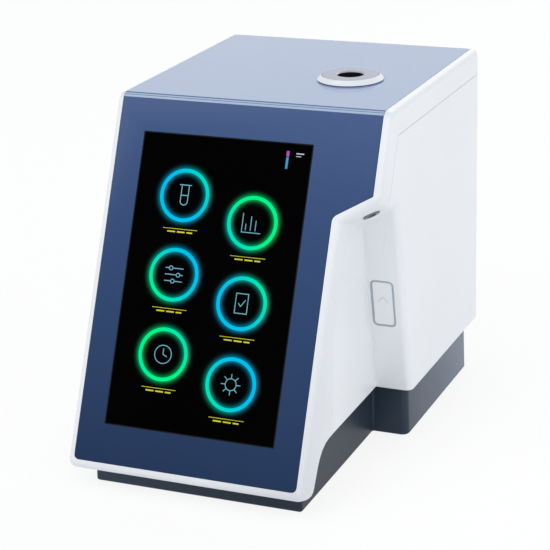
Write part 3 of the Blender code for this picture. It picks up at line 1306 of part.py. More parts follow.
def build_bay():
    """Recessed bay for the reagent and waste hoses, with its fittings."""
    centre_z = BAY_CENTRE_HEIGHT
    half_width, half_height = BAY_WIDTH / 2, BAY_HEIGHT / 2
    floor_back = REAR_FACE - BAY_DEPTH

    def tray(mesh):
        add_box(mesh, (BAY_X - half_width, BAY_X + half_width), (floor_back - BAY_WALL, REAR_FACE),
                (centre_z - half_height, centre_z + half_height))
    bay = make("hose_bay", "dark_plastic", tray)
    inner_w, inner_h = half_width - BAY_WALL, half_height - BAY_WALL
    combine(bay, lambda mesh: add_box(mesh, (BAY_X - inner_w, BAY_X + inner_w),
                                      (floor_back, REAR_FACE + OVERRUN),
                                      (centre_z - inner_h, centre_z + inner_h)))
    fitting_z = centre_z - half_height / 4
    collar = FITTING_RADIUS * 1.5
    barb = FITTING_RADIUS * 0.7
    length = BAY_DEPTH * 0.75
    seat = floor_back - BAY_WALL / 2

    def fittings(mesh):
        for x in fitting_places():
            add_turned(mesh, [(0.0, seat), (collar, seat), (collar, seat + length / 4),
                              (FITTING_RADIUS, seat + length / 4), (FITTING_RADIUS, seat + length / 2),
                              (barb, seat + length / 2), (barb, seat + length * 0.7),
                              (FITTING_RADIUS, seat + length * 0.75), (barb, seat + length),
                              (FITTING_BORE, seat + length), (FITTING_BORE, seat + length / 2),
                              (0.0, seat + length / 2)], 12, "Y", (x, fitting_z))
    combine(bay, fittings, "UNION")
    build_hoses(fitting_z, floor_back - BAY_WALL - GAP)


def fitting_places():
    count = int(BAY_WIDTH / FITTING_PITCH)
    return [BAY_X + BAY_WIDTH * ((i + 0.5) / count - 0.5) for i in range(count)]


def add_hose(mesh, start, start_run, end, end_run):
    """Hose of even thickness that leaves its start along one run and arrives along another."""
    steps = 12
    sides = 8
    rings = []
    across = Vector((0.0, 0.0, 1.0))
    for step in range(steps + 1):
        t = step / steps
        spot = ((2 * t ** 3 - 3 * t * t + 1) * start + (t ** 3 - 2 * t * t + t) * start_run
                + (3 * t * t - 2 * t ** 3) * end + (t ** 3 - t * t) * end_run)
        along = ((6 * t * t - 6 * t) * (start - end) + (3 * t * t - 4 * t + 1) * start_run
                 + (3 * t * t - 2 * t) * end_run).normalized()
        across = (across - along * across.dot(along)).normalized()
        side = along.cross(across)
        rings.append([spot + across * a + side * b for a, b in circle(HOSE_RADIUS, sides=sides)])
    add_loft(mesh, rings)


def build_hoses(fitting_z, start_y):
    """Reagent hose from the bay to the mixing chambers, and waste hose from the bay to the pump."""
    places = fitting_places()
    middle = len(places) // 2
    chamber_side = Vector((WEB_LEFT - CHAMBER_DEPTH - GAP, CHAMBER_Y + CHAMBER_LENGTH / 2,
                           FLOOR_TOP + CHAMBER_LIFT + CHAMBER_FLOOR))
    pump_side = Vector((WEB_LEFT - PUMP_MOTOR_LENGTH - GAP - PUMP_HEAD_LENGTH / 2, PUMP_Y,
                        PUMP_HEIGHT - PUMP_HEAD_RADIUS - GAP))
    reagent_start = Vector((places[middle - 1], start_y, fitting_z))
    waste_start = Vector((places[middle], start_y, fitting_z))
    back = Vector((0.0, -HOSE_SWEEP, 0.0))
    sideways = Vector((HOSE_SWEEP, 0.0, 0.0))
    upwards = Vector((0.0, 0.0, HOSE_SWEEP))
    make("reagent_hose", "hose",
         lambda mesh: add_hose(mesh, reagent_start, back, chamber_side, sideways), smooth=True)
    make("waste_hose", "hose",
         lambda mesh: add_hose(mesh, waste_start, back, pump_side, upwards), smooth=True)


def build_inlet_and_switch():
    """Power inlet socket, with the rocker switch above it."""
    centre_z = SKIRT_HEIGHT + INLET_LIFT
    half_width, half_height = INLET_WIDTH / 2, INLET_HEIGHT / 2
    inlet = make("power_inlet", "dark_plastic",
                 lambda mesh: add_box(mesh, (INLET_X - half_width, INLET_X + half_width),
                                      (REAR_FACE - INLET_DEPTH, REAR_FACE),
                                      (centre_z - half_height, centre_z + half_height)))
    inner_w, inner_h = half_width - INLET_RIM, half_height - INLET_RIM
    combine(inlet, lambda mesh: add_box(mesh, (INLET_X - inner_w, INLET_X + inner_w),
                                        (REAR_FACE - INLET_DEPTH + INLET_RIM, REAR_FACE + OVERRUN),
                                        (centre_z - inner_h, centre_z + inner_h)))
    build_switch()


def build_switch():
    """Rocker switch: its open body, and the rocker tilted to off on its pivot."""
    rocker_z = SKIRT_HEIGHT + ROCKER_LIFT
    outer_w, outer_h = switch_width() / 2, switch_height() / 2
    inner_w, inner_h = ROCKER_WIDTH / 2 + GAP, ROCKER_HEIGHT / 2 + GAP
    body = make("switch_body", "dark_plastic",
                lambda mesh: add_box(mesh, (INLET_X - outer_w, INLET_X + outer_w),
                                     (REAR_FACE - SWITCH_DEPTH, REAR_FACE),
                                     (rocker_z - outer_h, rocker_z + outer_h)))
    combine(body, lambda mesh: add_box(mesh, (INLET_X - inner_w, INLET_X + inner_w),
                                       (REAR_FACE - SWITCH_DEPTH + SWITCH_WALL, REAR_FACE + OVERRUN),
                                       (rocker_z - inner_h, rocker_z + inner_h)))
    half_rocker = ROCKER_HEIGHT / 2
    rim = half_rocker * math.tan(ROCKER_TILT)
    under = -ROCKER_DEPTH

    def rocker(mesh):
        half = ROCKER_WIDTH / 2
        add_prism(mesh, [(under, -half_rocker / 2), (-rim, -half_rocker + GAP), (0.0, 0.0),
                         (-rim, half_rocker - GAP), (under, half_rocker / 2)], "X", -half, half)
    part = make("power_rocker", "dark_plastic", rocker, at=(INLET_X, REAR_FACE, rocker_z))
    part.rotation_euler.x = -ROCKER_TILT


def build_sockets():
    """Two small data sockets and a network socket, as one group behind the rear cover."""
    back = REAR_FACE - SOCKET_DEPTH
    rows = socket_rows()
    low = rows[0][0] - SOCKET_SPACING / 2
    high = rows[-1][0] + SOCKET_SPACING
    half_board = LAN_WIDTH / 2 + 2 * SOCKET_WALL
    sockets = make("data_sockets", "steel",
                   lambda mesh: add_box(mesh, (PORTS_X - half_board, PORTS_X + half_board),
                                        (back - BOARD_THICKNESS, back), (low, high)))

    def shells(mesh):
        for z, width, height in rows:
            add_box(mesh, (PORTS_X - width / 2, PORTS_X + width / 2), (back - BOARD_THICKNESS / 2, REAR_FACE),
                    (z - height / 2, z + height / 2))
    combine(sockets, shells, "UNION")

    def pockets(mesh):
        for z, width, height in rows:
            half_w, half_h = width / 2 - SOCKET_WALL, height / 2 - SOCKET_WALL
            add_box(mesh, (PORTS_X - half_w, PORTS_X + half_w), (back + SOCKET_WALL, REAR_FACE + OVERRUN),
                    (z - half_h, z + half_h))
    combine(sockets, pockets)


def main():
    for old in list(bpy.data.objects):
        bpy.data.objects.remove(old)
    slope = make_frame("front_slope", (0.0, FOOT_Y, 0.0), tilt=-LEAN)
    bpy.context.view_layer.update()
    build_housing(slope)
    build_base()
    cup_radius = build_port()
    build_chassis(cup_radius)
    build_sampler(slope)
    build_piercer()
    build_syringe()
    build_start_plate()
    build_fluid_parts()
    build_electrics()
    build_rear()


main()
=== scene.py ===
import json
import math

import bmesh
import bpy
from mathutils import Matrix, Vector


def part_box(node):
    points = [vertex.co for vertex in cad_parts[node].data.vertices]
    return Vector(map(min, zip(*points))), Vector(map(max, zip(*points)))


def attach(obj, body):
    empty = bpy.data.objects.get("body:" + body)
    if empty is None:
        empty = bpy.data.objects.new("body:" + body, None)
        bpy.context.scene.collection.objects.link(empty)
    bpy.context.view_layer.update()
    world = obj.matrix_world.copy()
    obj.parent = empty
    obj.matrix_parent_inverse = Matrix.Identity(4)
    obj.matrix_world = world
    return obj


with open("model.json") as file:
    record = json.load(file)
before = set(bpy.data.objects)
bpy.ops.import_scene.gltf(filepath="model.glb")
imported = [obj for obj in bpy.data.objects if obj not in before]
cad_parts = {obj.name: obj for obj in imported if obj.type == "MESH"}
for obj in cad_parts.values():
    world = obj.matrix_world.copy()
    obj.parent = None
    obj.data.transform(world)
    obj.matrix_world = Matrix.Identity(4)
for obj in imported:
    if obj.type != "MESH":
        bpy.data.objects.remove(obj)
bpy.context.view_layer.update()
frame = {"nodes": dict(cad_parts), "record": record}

NODES = frame["nodes"]
SLOTS = {row["node"]: row["material_slot"] for row in frame["record"]["subparts"]}

# Niche for the sample tube, at the right of the front
NICHE_WIDTH = 0.0287
NICHE_WALL_LEAN = math.radians(10)

# The leaning front, read from the touch glass: local X across, local Y inwards, local Z up the slope
LEAN = math.radians(24.3)
GLASS_LOW, GLASS_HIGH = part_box("touch_glass")
GLASS_SPOTS = [vertex.co.copy() for vertex in NODES["touch_glass"].data.vertices]
FOOT_Y = min(spot.y - spot.z * math.tan(LEAN) for spot in GLASS_SPOTS)
SLOPE = Matrix.Translation((0.0, FOOT_Y, 0.0)) @ Matrix.Rotation(-LEAN, 4, "X")
GLASS_RISES = [(SLOPE.inverted() @ spot).z for spot in GLASS_SPOTS]
SCREEN_LEFT, SCREEN_RIGHT = GLASS_LOW.x, GLASS_HIGH.x
SCREEN_BOTTOM, SCREEN_TOP = min(GLASS_RISES), max(GLASS_RISES)
SCREEN_WIDTH = SCREEN_RIGHT - SCREEN_LEFT
SCREEN_HEIGHT = SCREEN_TOP - SCREEN_BOTTOM

# Stands a flat drawing (across, up) against a face that looks to the front, just clear of it
LIFT = 0.00008
LAID_ON = Matrix.Translation((0.0, -LIFT, 0.0)) @ Matrix.Rotation(math.pi / 2, 4, "X")

# Turns a flat drawing of (depth, height) to face sideways
SIDEWAYS = Matrix(((0.0, 0.0, 1.0), (1.0, 0.0, 0.0), (0.0, 1.0, 0.0))).to_4x4()


# Node helpers

def put(tree, socket, value):
    """Link a socket to another node's output, or set it to a plain value."""
    if isinstance(value, bpy.types.NodeSocket):
        tree.links.new(value, socket)
    else:
        socket.default_value = value


def shader_node(tree, kind, **values):
    """New node with its named inputs set or linked; returns its outputs."""
    node = tree.nodes.new("ShaderNode" + kind)
    for label, value in values.items():
        put(tree, node.inputs[label.replace("_", " ")], value)
    return node.outputs


def math_node(tree, operation, *values):
    """Result of a sum on values and other nodes' outputs."""
    node = tree.nodes.new("ShaderNodeMath")
    node.operation = operation
    for socket, value in zip(node.inputs, values):
        put(tree, socket, value)
    return node.outputs[0]


def vector_node(tree, operation, *values):
    """Result of a sum on vectors, which is a plain value where the sum measures them."""
    node = tree.nodes.new("ShaderNodeVectorMath")
    node.operation = operation
    for socket, value in zip(node.inputs, values):
        put(tree, socket, value)
    measured = operation in ("DISTANCE", "DOT_PRODUCT", "LENGTH")
    return node.outputs["Value" if measured else "Vector"]


def seen_directly(tree, *rays):
    """One for the named kinds of ray, zero for the light that surfaces pass on to each other."""
    path = tree.nodes.new("ShaderNodeLightPath")
    seen = path.outputs[rays[0]]
    for ray in rays[1:]:
        seen = math_node(tree, "MAXIMUM", seen, path.outputs[ray])
    return seen


def mix_shaders(tree, share, first, second):
    """Shader that passes from the first to the second as the share rises from zero to one."""
    node = tree.nodes.new("ShaderNodeMixShader")
    for socket, source in zip(node.inputs, (share, first, second)):
        tree.links.new(source, socket)
    return node.outputs[0]


# Camera and studio

def set_camera():
    """Camera at the photograph's angle."""
    right = Vector((0.92226, 0.38544, -0.02944))
    up = Vector((-0.10337, 0.31928, 0.94201))
    back = Vector((0.37249, -0.86574, 0.33430))
    place = Vector((0.5412, -1.2726, 0.6153))
    image_width = 550
    focal_pixels = 1878.59
    sensor_width = 36.0
    data = bpy.data.cameras.new("camera")
    data.sensor_width = sensor_width
    data.lens = focal_pixels / image_width * sensor_width
    data.clip_end = 20.0
    camera = bpy.data.objects.new("camera", data)
    camera.matrix_world = Matrix.Translation(place) @ Matrix((right, up, back)).transposed().to_4x4()
    bpy.context.scene.collection.objects.link(camera)
    bpy.context.scene.camera = camera


# Name, place, target, size and power of each square lamp
LAMPS = (
    ("key_light", (-0.9, -1.3, 1.9), (0.0, 0.0, 0.1), 1.4, 12.0),
    ("side_light", (1.7, -0.4, 1.1), (0.0, 0.0, 0.12), 1.2, 5.0),
    ("back_light", (0.3, 1.8, 1.4), (0.0, 0.0, 0.15), 1.2, 6.0),
    ("fill_light", (0.9, -1.6, 0.5), (0.09, -0.05, 0.12), 1.0, 2.0),
)


def area_light(name, place, target, size, power):
    """Square lamp that looks at its target."""
    data = bpy.data.lights.new(name, "AREA")
    data.shape = "SQUARE"
    data.size = size
    data.energy = power
    lamp = bpy.data.objects.new(name, data)
    lamp.location = place
    lamp.rotation_euler = (Vector(target) - Vector(place)).to_track_quat("-Z", "Y").to_euler()
    bpy.context.scene.collection.objects.link(lamp)


def set_studio():
    """Surroundings that look white but light the part a little dimmer and bluer, lamps and floor."""
    scene = bpy.context.scene
    scene.view_settings.view_transform = "Standard"
    scene.world = bpy.data.worlds.new("studio")
    scene.world.use_nodes = True
    tree = scene.world.node_tree
    tree.nodes.clear()
    ambient = shader_node(tree, "Background", Color=(0.93, 0.96, 1.0, 1.0), Strength=0.78)[0]
    white = shader_node(tree, "Background", Color=(1.0, 1.0, 1.0, 1.0), Strength=1.0)[0]
    seen = seen_directly(tree, "Is Camera Ray", "Is Glossy Ray", "Is Transmission Ray")
    output = tree.nodes.new("ShaderNodeOutputWorld")
    tree.links.new(mix_shaders(tree, seen, ambient, white), output.inputs["Surface"])
    for lamp in LAMPS:
        area_light(*lamp)
    build_floor()


def build_floor():
    """White floor that takes a soft shadow and is otherwise nearly as bright as its surroundings."""
    reach = 6.0
    glowing_share = 0.86
    mesh = bmesh.new()
    bmesh.ops.create_grid(mesh, x_segments=1, y_segments=1, size=reach)
    data = bpy.data.meshes.new("studio_floor")
    mesh.to_mesh(data)
    mesh.free()
    floor = bpy.data.objects.new("studio_floor", data)
    bpy.context.scene.collection.objects.link(floor)
    material = bpy.data.materials.new("studio_floor")
    material.use_nodes = True
    tree = material.node_tree
    surface = tree.nodes["Principled BSDF"]
    surface.inputs["Base Color"].default_value = (0.94, 0.94, 0.94, 1.0)
    surface.inputs["Roughness"].default_value = 0.9
    surface.inputs["Specular IOR Level"].default_value = 0.0
    glow = shader_node(tree, "Emission")[0]
    seen = seen_directly(tree, "Is Camera Ray", "Is Glossy Ray")
    share = math_node(tree, "MULTIPLY", seen, glowing_share)
    output = tree.nodes["Material Output"]
    tree.links.new(mix_shaders(tree, share, surface.outputs[0], glow), output.inputs["Surface"])
    data.materials.append(material)


# Shared shader groups

def new_group(name, outputs, **inputs):
    """New shader group that takes a position and other inputs, each with its default value."""
    tree = bpy.data.node_groups.new(name, "ShaderNodeTree")
    tree.interface.new_socket("Position", in_out="INPUT", socket_type="NodeSocketVector")
    for label, value in inputs.items():
        kind = "NodeSocketVector" if isinstance(value, tuple) else "NodeSocketFloat"
        socket = tree.interface.new_socket(label.replace("_", " "), in_out="INPUT", socket_type=kind)
        socket.default_value = value
    for label in outputs:
        tree.interface.new_socket(label, in_out="OUTPUT", socket_type="NodeSocketFloat")
    return tree, tree.nodes.new("NodeGroupInput").outputs, tree.nodes.new("NodeGroupOutput").inputs


def grain_group():
    """Moulded or rolled surface: fine grain height, and a broad tone that drifts over the part."""
    tree, given, result = new_group("surface_grain", ("Height", "Tone"), Grain_Scale=900.0, Drift_Scale=9.0,
                                    Stretch=(1.0, 1.0, 1.0))
    fine_share, broad_share = 0.35, 0.65
    stretched = vector_node(tree, "MULTIPLY", given["Position"], given["Stretch"])
    fine = shader_node(tree, "TexNoise", Vector=stretched, Scale=given["Grain Scale"], Detail=3.0)
    broad = shader_node(tree, "TexNoise", Vector=given["Position"], Scale=given["Drift Scale"], Detail=2.0)
    fine_tone = math_node(tree, "MULTIPLY", fine["Fac"], fine_share)
    broad_tone = math_node(tree, "MULTIPLY", broad["Fac"], broad_share)
    tree.links.new(fine["Fac"], result["Height"])
    tree.links.new(math_node(tree, "ADD", fine_tone, broad_tone), result["Tone"])
    return tree


def dust_group():
    """Mask of the light dust and handling marks that gather on faces that look up."""
    tree, given, result = new_group("settled_dust", ("Mask",), Amount=0.1)
    facing = shader_node(tree, "SeparateXYZ", Vector=shader_node(tree, "NewGeometry")["Normal"])
    upward = math_node(tree, "MAXIMUM", facing["Z"], 0.0)
    patches = shader_node(tree, "TexNoise", Vector=given["Position"], Scale=60.0, Detail=6.0)
    spread = math_node(tree, "MULTIPLY", upward, patches["Fac"])
    tree.links.new(math_node(tree, "MULTIPLY", spread, given["Amount"]), result["Mask"])
    return tree


def glow_group():
    """Soft halo round one glowing ring of the display."""
    tree, given, result = new_group("ring_glow", ("Glow",), Centre=(0.0, 0.0, 0.0), Radius=0.016,
                                    Spread=0.003)
    distance = vector_node(tree, "DISTANCE", given["Position"], given["Centre"])
    offset = math_node(tree, "SUBTRACT", distance, given["Radius"])
    ratio = math_node(tree, "DIVIDE", offset, given["Spread"])
    square = math_node(tree, "MULTIPLY", ratio, ratio)
    fall = math_node(tree, "MULTIPLY", square, -1.0)
    tree.links.new(math_node(tree, "EXPONENT", fall), result["Glow"])
    return tree


def wave_group():
    """Slow wave of tone along a direction, by which the display's rings drift between two colours."""
    tree, given, result = new_group("tone_wave", ("Mask",), Direction=(90.0, 0.0, 45.0), Shift=0.0)
    along = vector_node(tree, "DOT_PRODUCT", given["Position"], given["Direction"])
    wave = math_node(tree, "SINE", math_node(tree, "ADD", along, given["Shift"]))
    half = 0.5
    tree.links.new(math_node(tree, "MULTIPLY_ADD", wave, half, half), result["Mask"])
    return tree


def run_group():
    """Mask that rises from zero to one between two distances along a direction."""
    tree, given, result = new_group("tone_run", ("Mask",), Direction=(0.0, 0.0, 1.0), Start=0.0, End=0.27)
    along = vector_node(tree, "DOT_PRODUCT", given["Position"], given["Direction"])
    run = shader_node(tree, "MapRange", Value=along, From_Min=given["Start"], From_Max=given["End"])
    tree.links.new(run["Result"], result["Mask"])
    return tree


def bore_group():
    """Mask of what lies within a radius of an upright axis, such as the inside of a bore."""
    tree, given, result = new_group("bore_depth", ("Mask",), Axis_Place=(0.0, 0.0, 0.0), Radius=0.01,
                                    Edge=0.0002)
    offset = vector_node(tree, "SUBTRACT", given["Position"], given["Axis Place"])
    reach = vector_node(tree, "LENGTH", vector_node(tree, "MULTIPLY", offset, (1.0, 1.0, 0.0)))
    inside = math_node(tree, "SUBTRACT", given["Radius"], reach)
    step = math_node(tree, "DIVIDE", inside, given["Edge"])
    tree.links.new(shader_node(tree, "Clamp", Value=step)["Result"], result["Mask"])
    return tree


GRAIN = grain_group()
DUST = dust_group()
GLOW = glow_group()
WAVE = wave_group()
RUN = run_group()
BORE = bore_group()

# The grain's tone lies mostly between these two values
TONE_LOW = 0.3
TONE_HIGH = 0.7


# Materials

class Finish:
    """Material under construction: its tree, its shader and the position that its patterns follow."""

    def __init__(self, name):
        self.material = bpy.data.materials.new(name)
        self.material.use_nodes = True
        self.tree = self.material.node_tree
        self.shader = self.tree.nodes["Principled BSDF"]
        self.position = shader_node(self.tree, "TexCoord")["Object"]

    def set(self, **values):
        """Set the shader's named inputs to plain values."""
        for label, value in values.items():
            self.shader.inputs[label.replace("_", " ")].default_value = value

    def feed(self, label, source):
        """Link one of the shader's inputs to a pattern."""
        self.tree.links.new(source, self.shader.inputs[label])

    def group(self, tree, **values):
        """Place a shared group here with its own values; returns its outputs."""
        node = self.tree.nodes.new("ShaderNodeGroup")
        node.node_tree = tree
        put(self.tree, node.inputs["Position"], self.position)
        for label, value in values.items():
            node.inputs[label.replace("_", " ")].default_value = value
        return node.outputs

    def ramp(self, tone, low, high):
        """Colour between two colours, by the grain's tone."""
        node = self.tree.nodes.new("ShaderNodeValToRGB")
        for stop, place, colour in zip(node.color_ramp.elements, (TONE_LOW, TONE_HIGH), (low, high)):
            stop.position = place
            stop.color = (*colour, 1.0)
        self.tree.links.new(tone, node.inputs["Fac"])
        return node.outputs["Color"]

    def span(self, tone, low, high):
        """Value between two values, by the grain's tone."""
        node = shader_node(self.tree, "MapRange", Value=tone, From_Min=TONE_LOW, From_Max=TONE_HIGH,
                           To_Min=low, To_Max=high)
        return node["Result"]

    def blend(self, mask, under, over):
        """Colour that passes from one to the other as a mask rises from zero to one."""
        node = self.tree.nodes.new("ShaderNodeMix")
        node.data_type = "RGBA"
        self.tree.links.new(mask, node.inputs["Factor"])
        sockets = [socket for socket in node.inputs if socket.type == "RGBA"]
        for socket, value in zip(sockets, (under, over)):
            put(self.tree, socket, (*value, 1.0) if isinstance(value, tuple) else value)
        return [socket for socket in node.outputs if socket.type == "RGBA"][0]

    def shade(self, colour, tone, start, end, direction=(0.0, 0.0, 1.0)):
        """Colour that passes to another tone between two distances along a direction."""
        run = self.group(RUN, Direction=direction, Start=start, End=end)
        return self.blend(run["Mask"], colour, tone)

    def bump(self, height, depth):
        """Relief of the surface, as deep as the given distance."""
        self.feed("Normal", shader_node(self.tree, "Bump", Height=height, Distance=depth)["Normal"])

    def grain(self, rough, depth=None, **values):
        """Grain that varies the roughness and, with a depth, the relief; returns its drifting tone."""
        grained = self.group(GRAIN, **values)
        self.feed("Roughness", self.span(grained["Tone"], *rough))
        if depth is not None:
            self.bump(grained["Height"], depth)
        return grained["Tone"]


BLACK = (0.0, 0.0, 0.0)
DUST_COLOUR = (0.62, 0.62, 0.60)

# The whites: the first as two colours and the span of roughness
WHITE = ((0.79, 0.805, 0.83), (0.83, 0.845, 0.865), (0.30, 0.38))
# Painted shade of the frame: a dimmer white along its crown, against the highlight of its rounded edge, and
# another low towards its toe
CROWN_PAINTED_SHADE = (0.735, 0.750, 0.762)
TOE_PAINTED_SHADE = (0.67, 0.69, 0.715)
SATIN = {"grain": 1400.0, "depth": 0.000006, "dust": 0.02, "Coat_Weight": 0.15, "Coat_Roughness": 0.2}

# The blues of the top and front: the first as two colours and the span of roughness
TOP_BLUE = ((0.205, 0.305, 0.51), (0.225, 0.325, 0.53), (0.14, 0.20))
# Painted reflection: the front's lighter blue up its face and the pale blue of its brow; painted shade: the
# dark lines across the brow
FRONT_REFLECTION_BLUE = (0.034, 0.078, 0.205)
BROW_REFLECTION_BLUE = (0.38, 0.47, 0.61)
BROW_SHADE_LINE_BLUE = (0.075, 0.135, 0.275)

# The slates of the base, with lighter tones of painted light towards its left and its rear
LEFT_SLATE_PAINTED_LIGHT = (0.046, 0.061, 0.088)
REAR_SLATE_PAINTED_LIGHT = (0.062, 0.106, 0.185)


def surfaced(name, low, high, rough, grain=900.0, depth=0.00001, dust=0.05, stretch=(1.0, 1.0, 1.0),
             runs=(), **values):
    """Plastic, paint or metal with a drifting colour, its own grain and a little dust.

    Each run shades the colour to another tone: the tone, two distances and their direction.
    """
    finish = Finish(name)
    tone = finish.grain(rough, depth, Grain_Scale=grain, Stretch=stretch)
    dusted = finish.group(DUST, Amount=dust)
    colour = finish.ramp(tone, low, high)
    for run in runs:
        colour = finish.shade(colour, *run)
    finish.feed("Base Color", finish.blend(dusted["Mask"], colour, DUST_COLOUR))
    finish.set(**values)
    return finish


def emissive(name, colour, strength):
    """Glowing ink of the display, slightly uneven."""
    finish = Finish(name)
    dimmest = 0.75
    grained = finish.group(GRAIN, Grain_Scale=120.0, Drift_Scale=60.0)
    dim = tuple(channel * dimmest for channel in colour)
    finish.feed("Emission Color", finish.ramp(grained["Tone"], dim, colour))
    finish.set(Emission_Strength=strength, Roughness=0.3, Base_Color=(*BLACK, 1.0), Specular_IOR_Level=0.1)
    return finish


def build_materials():
    """Every finish of the nodes and pieces by its name, apart from those of the display."""
    finishes = {}

    def add(name, *tones, **values):
        finishes[name] = surfaced(name, *tones, **values)

    add("white_housing", *WHITE, **SATIN)
    add("top_lacquer", *TOP_BLUE, grain=500.0, depth=0.000004, dust=0.02, Coat_Weight=0.40,
        Coat_Roughness=0.05)
    add("needle_bush", (0.10, 0.12, 0.15), (0.14, 0.16, 0.20), (0.35, 0.45))
    add("start_seal", (0.33, 0.39, 0.46), (0.37, 0.43, 0.50), (0.45, 0.60), grain=1200.0)
    add("start_mark", (0.66, 0.65, 0.66), (0.70, 0.69, 0.70), (0.4, 0.5))
    # Grey of the strips of painted shade over the side covers' seams
    add("seam_shade_strip", (0.56, 0.58, 0.61), (0.60, 0.62, 0.65), (0.6, 0.75), grain=1200.0)
    add("screen_gasket", (0.0015, 0.0015, 0.002), (0.003, 0.003, 0.004), (0.7, 0.9), Specular_IOR_Level=0.05)
    add("foot_rubber", (0.014, 0.014, 0.015), (0.022, 0.022, 0.023), (0.75, 0.9), grain=1500.0, depth=0.00004)
    add("grey_plastic", (0.40, 0.42, 0.46), (0.47, 0.49, 0.53), (0.30, 0.42), grain=1300.0)
    add("dark_plastic", (0.018, 0.018, 0.020), (0.028, 0.028, 0.031), (0.42, 0.56), grain=1300.0,
        depth=0.00002)
    add("sheet_metal", (0.50, 0.51, 0.53), (0.62, 0.63, 0.65), (0.30, 0.45), grain=160.0,
        stretch=(1.0, 9.0, 1.0), Metallic=1.0)
    add("bright_steel", (0.58, 0.58, 0.60), (0.68, 0.68, 0.70), (0.18, 0.30), grain=260.0, depth=0.000005,
        stretch=(1.0, 1.0, 12.0), Metallic=1.0)
    add("gilt_contact", (0.72, 0.52, 0.20), (0.80, 0.60, 0.26), (0.20, 0.30), grain=400.0, Metallic=1.0)
    add("aluminium", (0.66, 0.67, 0.69), (0.74, 0.75, 0.77), (0.28, 0.40), grain=260.0, depth=0.000008,
        stretch=(1.0, 12.0, 1.0), Metallic=1.0)
    add("hose", (0.62, 0.65, 0.62), (0.72, 0.75, 0.72), (0.28, 0.40), grain=700.0, Subsurface_Weight=0.1)
    add("clear_plastic", (0.82, 0.86, 0.88), (0.88, 0.91, 0.93), (0.05, 0.12), grain=300.0, depth=0.000003,
        Transmission_Weight=0.7)
    finishes["white_frame"] = build_frame_white()
    finishes["front_lacquer"] = build_front_lacquer()
    finishes["slate_base"] = build_slate()
    finishes["screen_glass"] = build_glass()
    finishes["circuit_board"] = build_board()
    finishes["turned_ring"] = build_turned()
    return finishes


def build_frame_white():
    """White of the frame with painted shade: dimmer along its crown, which tones down the highlight of its
    rounded edge, and towards the front toe beside the niche.
    """
    low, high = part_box("front_frame")
    crown_depth, crown_edge = 0.005, 0.001
    toe_spread = 0.085
    toe_reach = high.x - NICHE_WIDTH - low.y
    crown = (CROWN_PAINTED_SHADE, high.z - crown_depth, high.z - crown_edge)
    toe = (TOE_PAINTED_SHADE, toe_reach - toe_spread, toe_reach, (1.0, -1.0, 0.0))
    return surfaced("white_frame", *WHITE, runs=(crown, toe), **SATIN)


def build_front_lacquer():
    """Dark blue lacquer with painted reflection, lighter up the front, and a pale brow of painted reflection
    crossed by dark lines of painted shade where the front turns to the top.
    """
    finish = Finish("front_lacquer")
    low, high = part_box("front_panel")
    tone = finish.grain((0.16, 0.22), depth=0.000003, Grain_Scale=500.0, Drift_Scale=7.0)
    colour = finish.ramp(tone, (0.004, 0.023, 0.077), (0.005, 0.026, 0.083))
    # Painted reflection: the blue grows lighter up the front
    colour = finish.shade(colour, FRONT_REFLECTION_BLUE, low.z, high.z)
    brow_height = 0.0028
    # Where each band starts and ends below the top, as shares of the brow's height: pale bands of painted
    # reflection, dark lines of painted shade
    bands = ((0.98, 0.90, BROW_REFLECTION_BLUE), (0.56, 0.50, BROW_SHADE_LINE_BLUE), (0.46, 0.40, BROW_REFLECTION_BLUE),
             (0.22, 0.12, BROW_SHADE_LINE_BLUE))
    for start, end, band_blue in bands:
        colour = finish.shade(colour, band_blue, high.z - start * brow_height, high.z - end * brow_height)
    finish.feed("Base Color", colour)
    finish.set(Specular_IOR_Level=0.2)
    return finish


def build_slate():
    """Satin slate of the base, with painted light that makes it lighter towards its rear and its left."""
    finish = Finish("slate_base")
    low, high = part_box("base_tray")
    dark_length_share, dark_width_share = 0.42, 0.6
    rear_coat = 0.55
    start = low.y + (high.y - low.y) * dark_length_share
    rearward = finish.group(RUN, Direction=(0.0, 1.0, 0.0), Start=start, End=high.y)
    tone = finish.grain((0.30, 0.40), depth=0.000012, Grain_Scale=1100.0)
    near = finish.ramp(tone, (0.022, 0.033, 0.049), (0.028, 0.040, 0.058))
    # Painted light: the slate grows lighter towards its left, and again towards its rear
    front = finish.shade(near, LEFT_SLATE_PAINTED_LIGHT, -high.x * dark_width_share, -low.x, (-1.0, 0.0, 0.0))
    finish.feed("Base Color", finish.blend(rearward["Mask"], front, REAR_SLATE_PAINTED_LIGHT))
    finish.feed("Coat Weight", math_node(finish.tree, "MULTIPLY", rearward["Mask"], rear_coat))
    finish.set(Specular_IOR_Level=0.12, Coat_Roughness=0.25)
    return finish


def build_board():
    """Green board with a pattern of copper tracks under the mask."""
    finish = Finish("circuit_board")
    upright = shader_node(finish.tree, "VectorRotate", Vector=finish.position, Axis=(0.0, 1.0, 0.0),
                          Angle=math.pi / 2)
    tracks = shader_node(finish.tree, "TexBrick", Vector=upright["Vector"], Scale=60.0, Mortar_Size=0.012,
                         Color1=(0.010, 0.13, 0.055, 1.0), Color2=(0.014, 0.16, 0.070, 1.0),
                         Mortar=(0.030, 0.25, 0.110, 1.0))
    finish.grain((0.35, 0.5))
    finish.feed("Base Color", tracks["Color"])
    finish.bump(tracks["Fac"], depth=0.00003)
    return finish


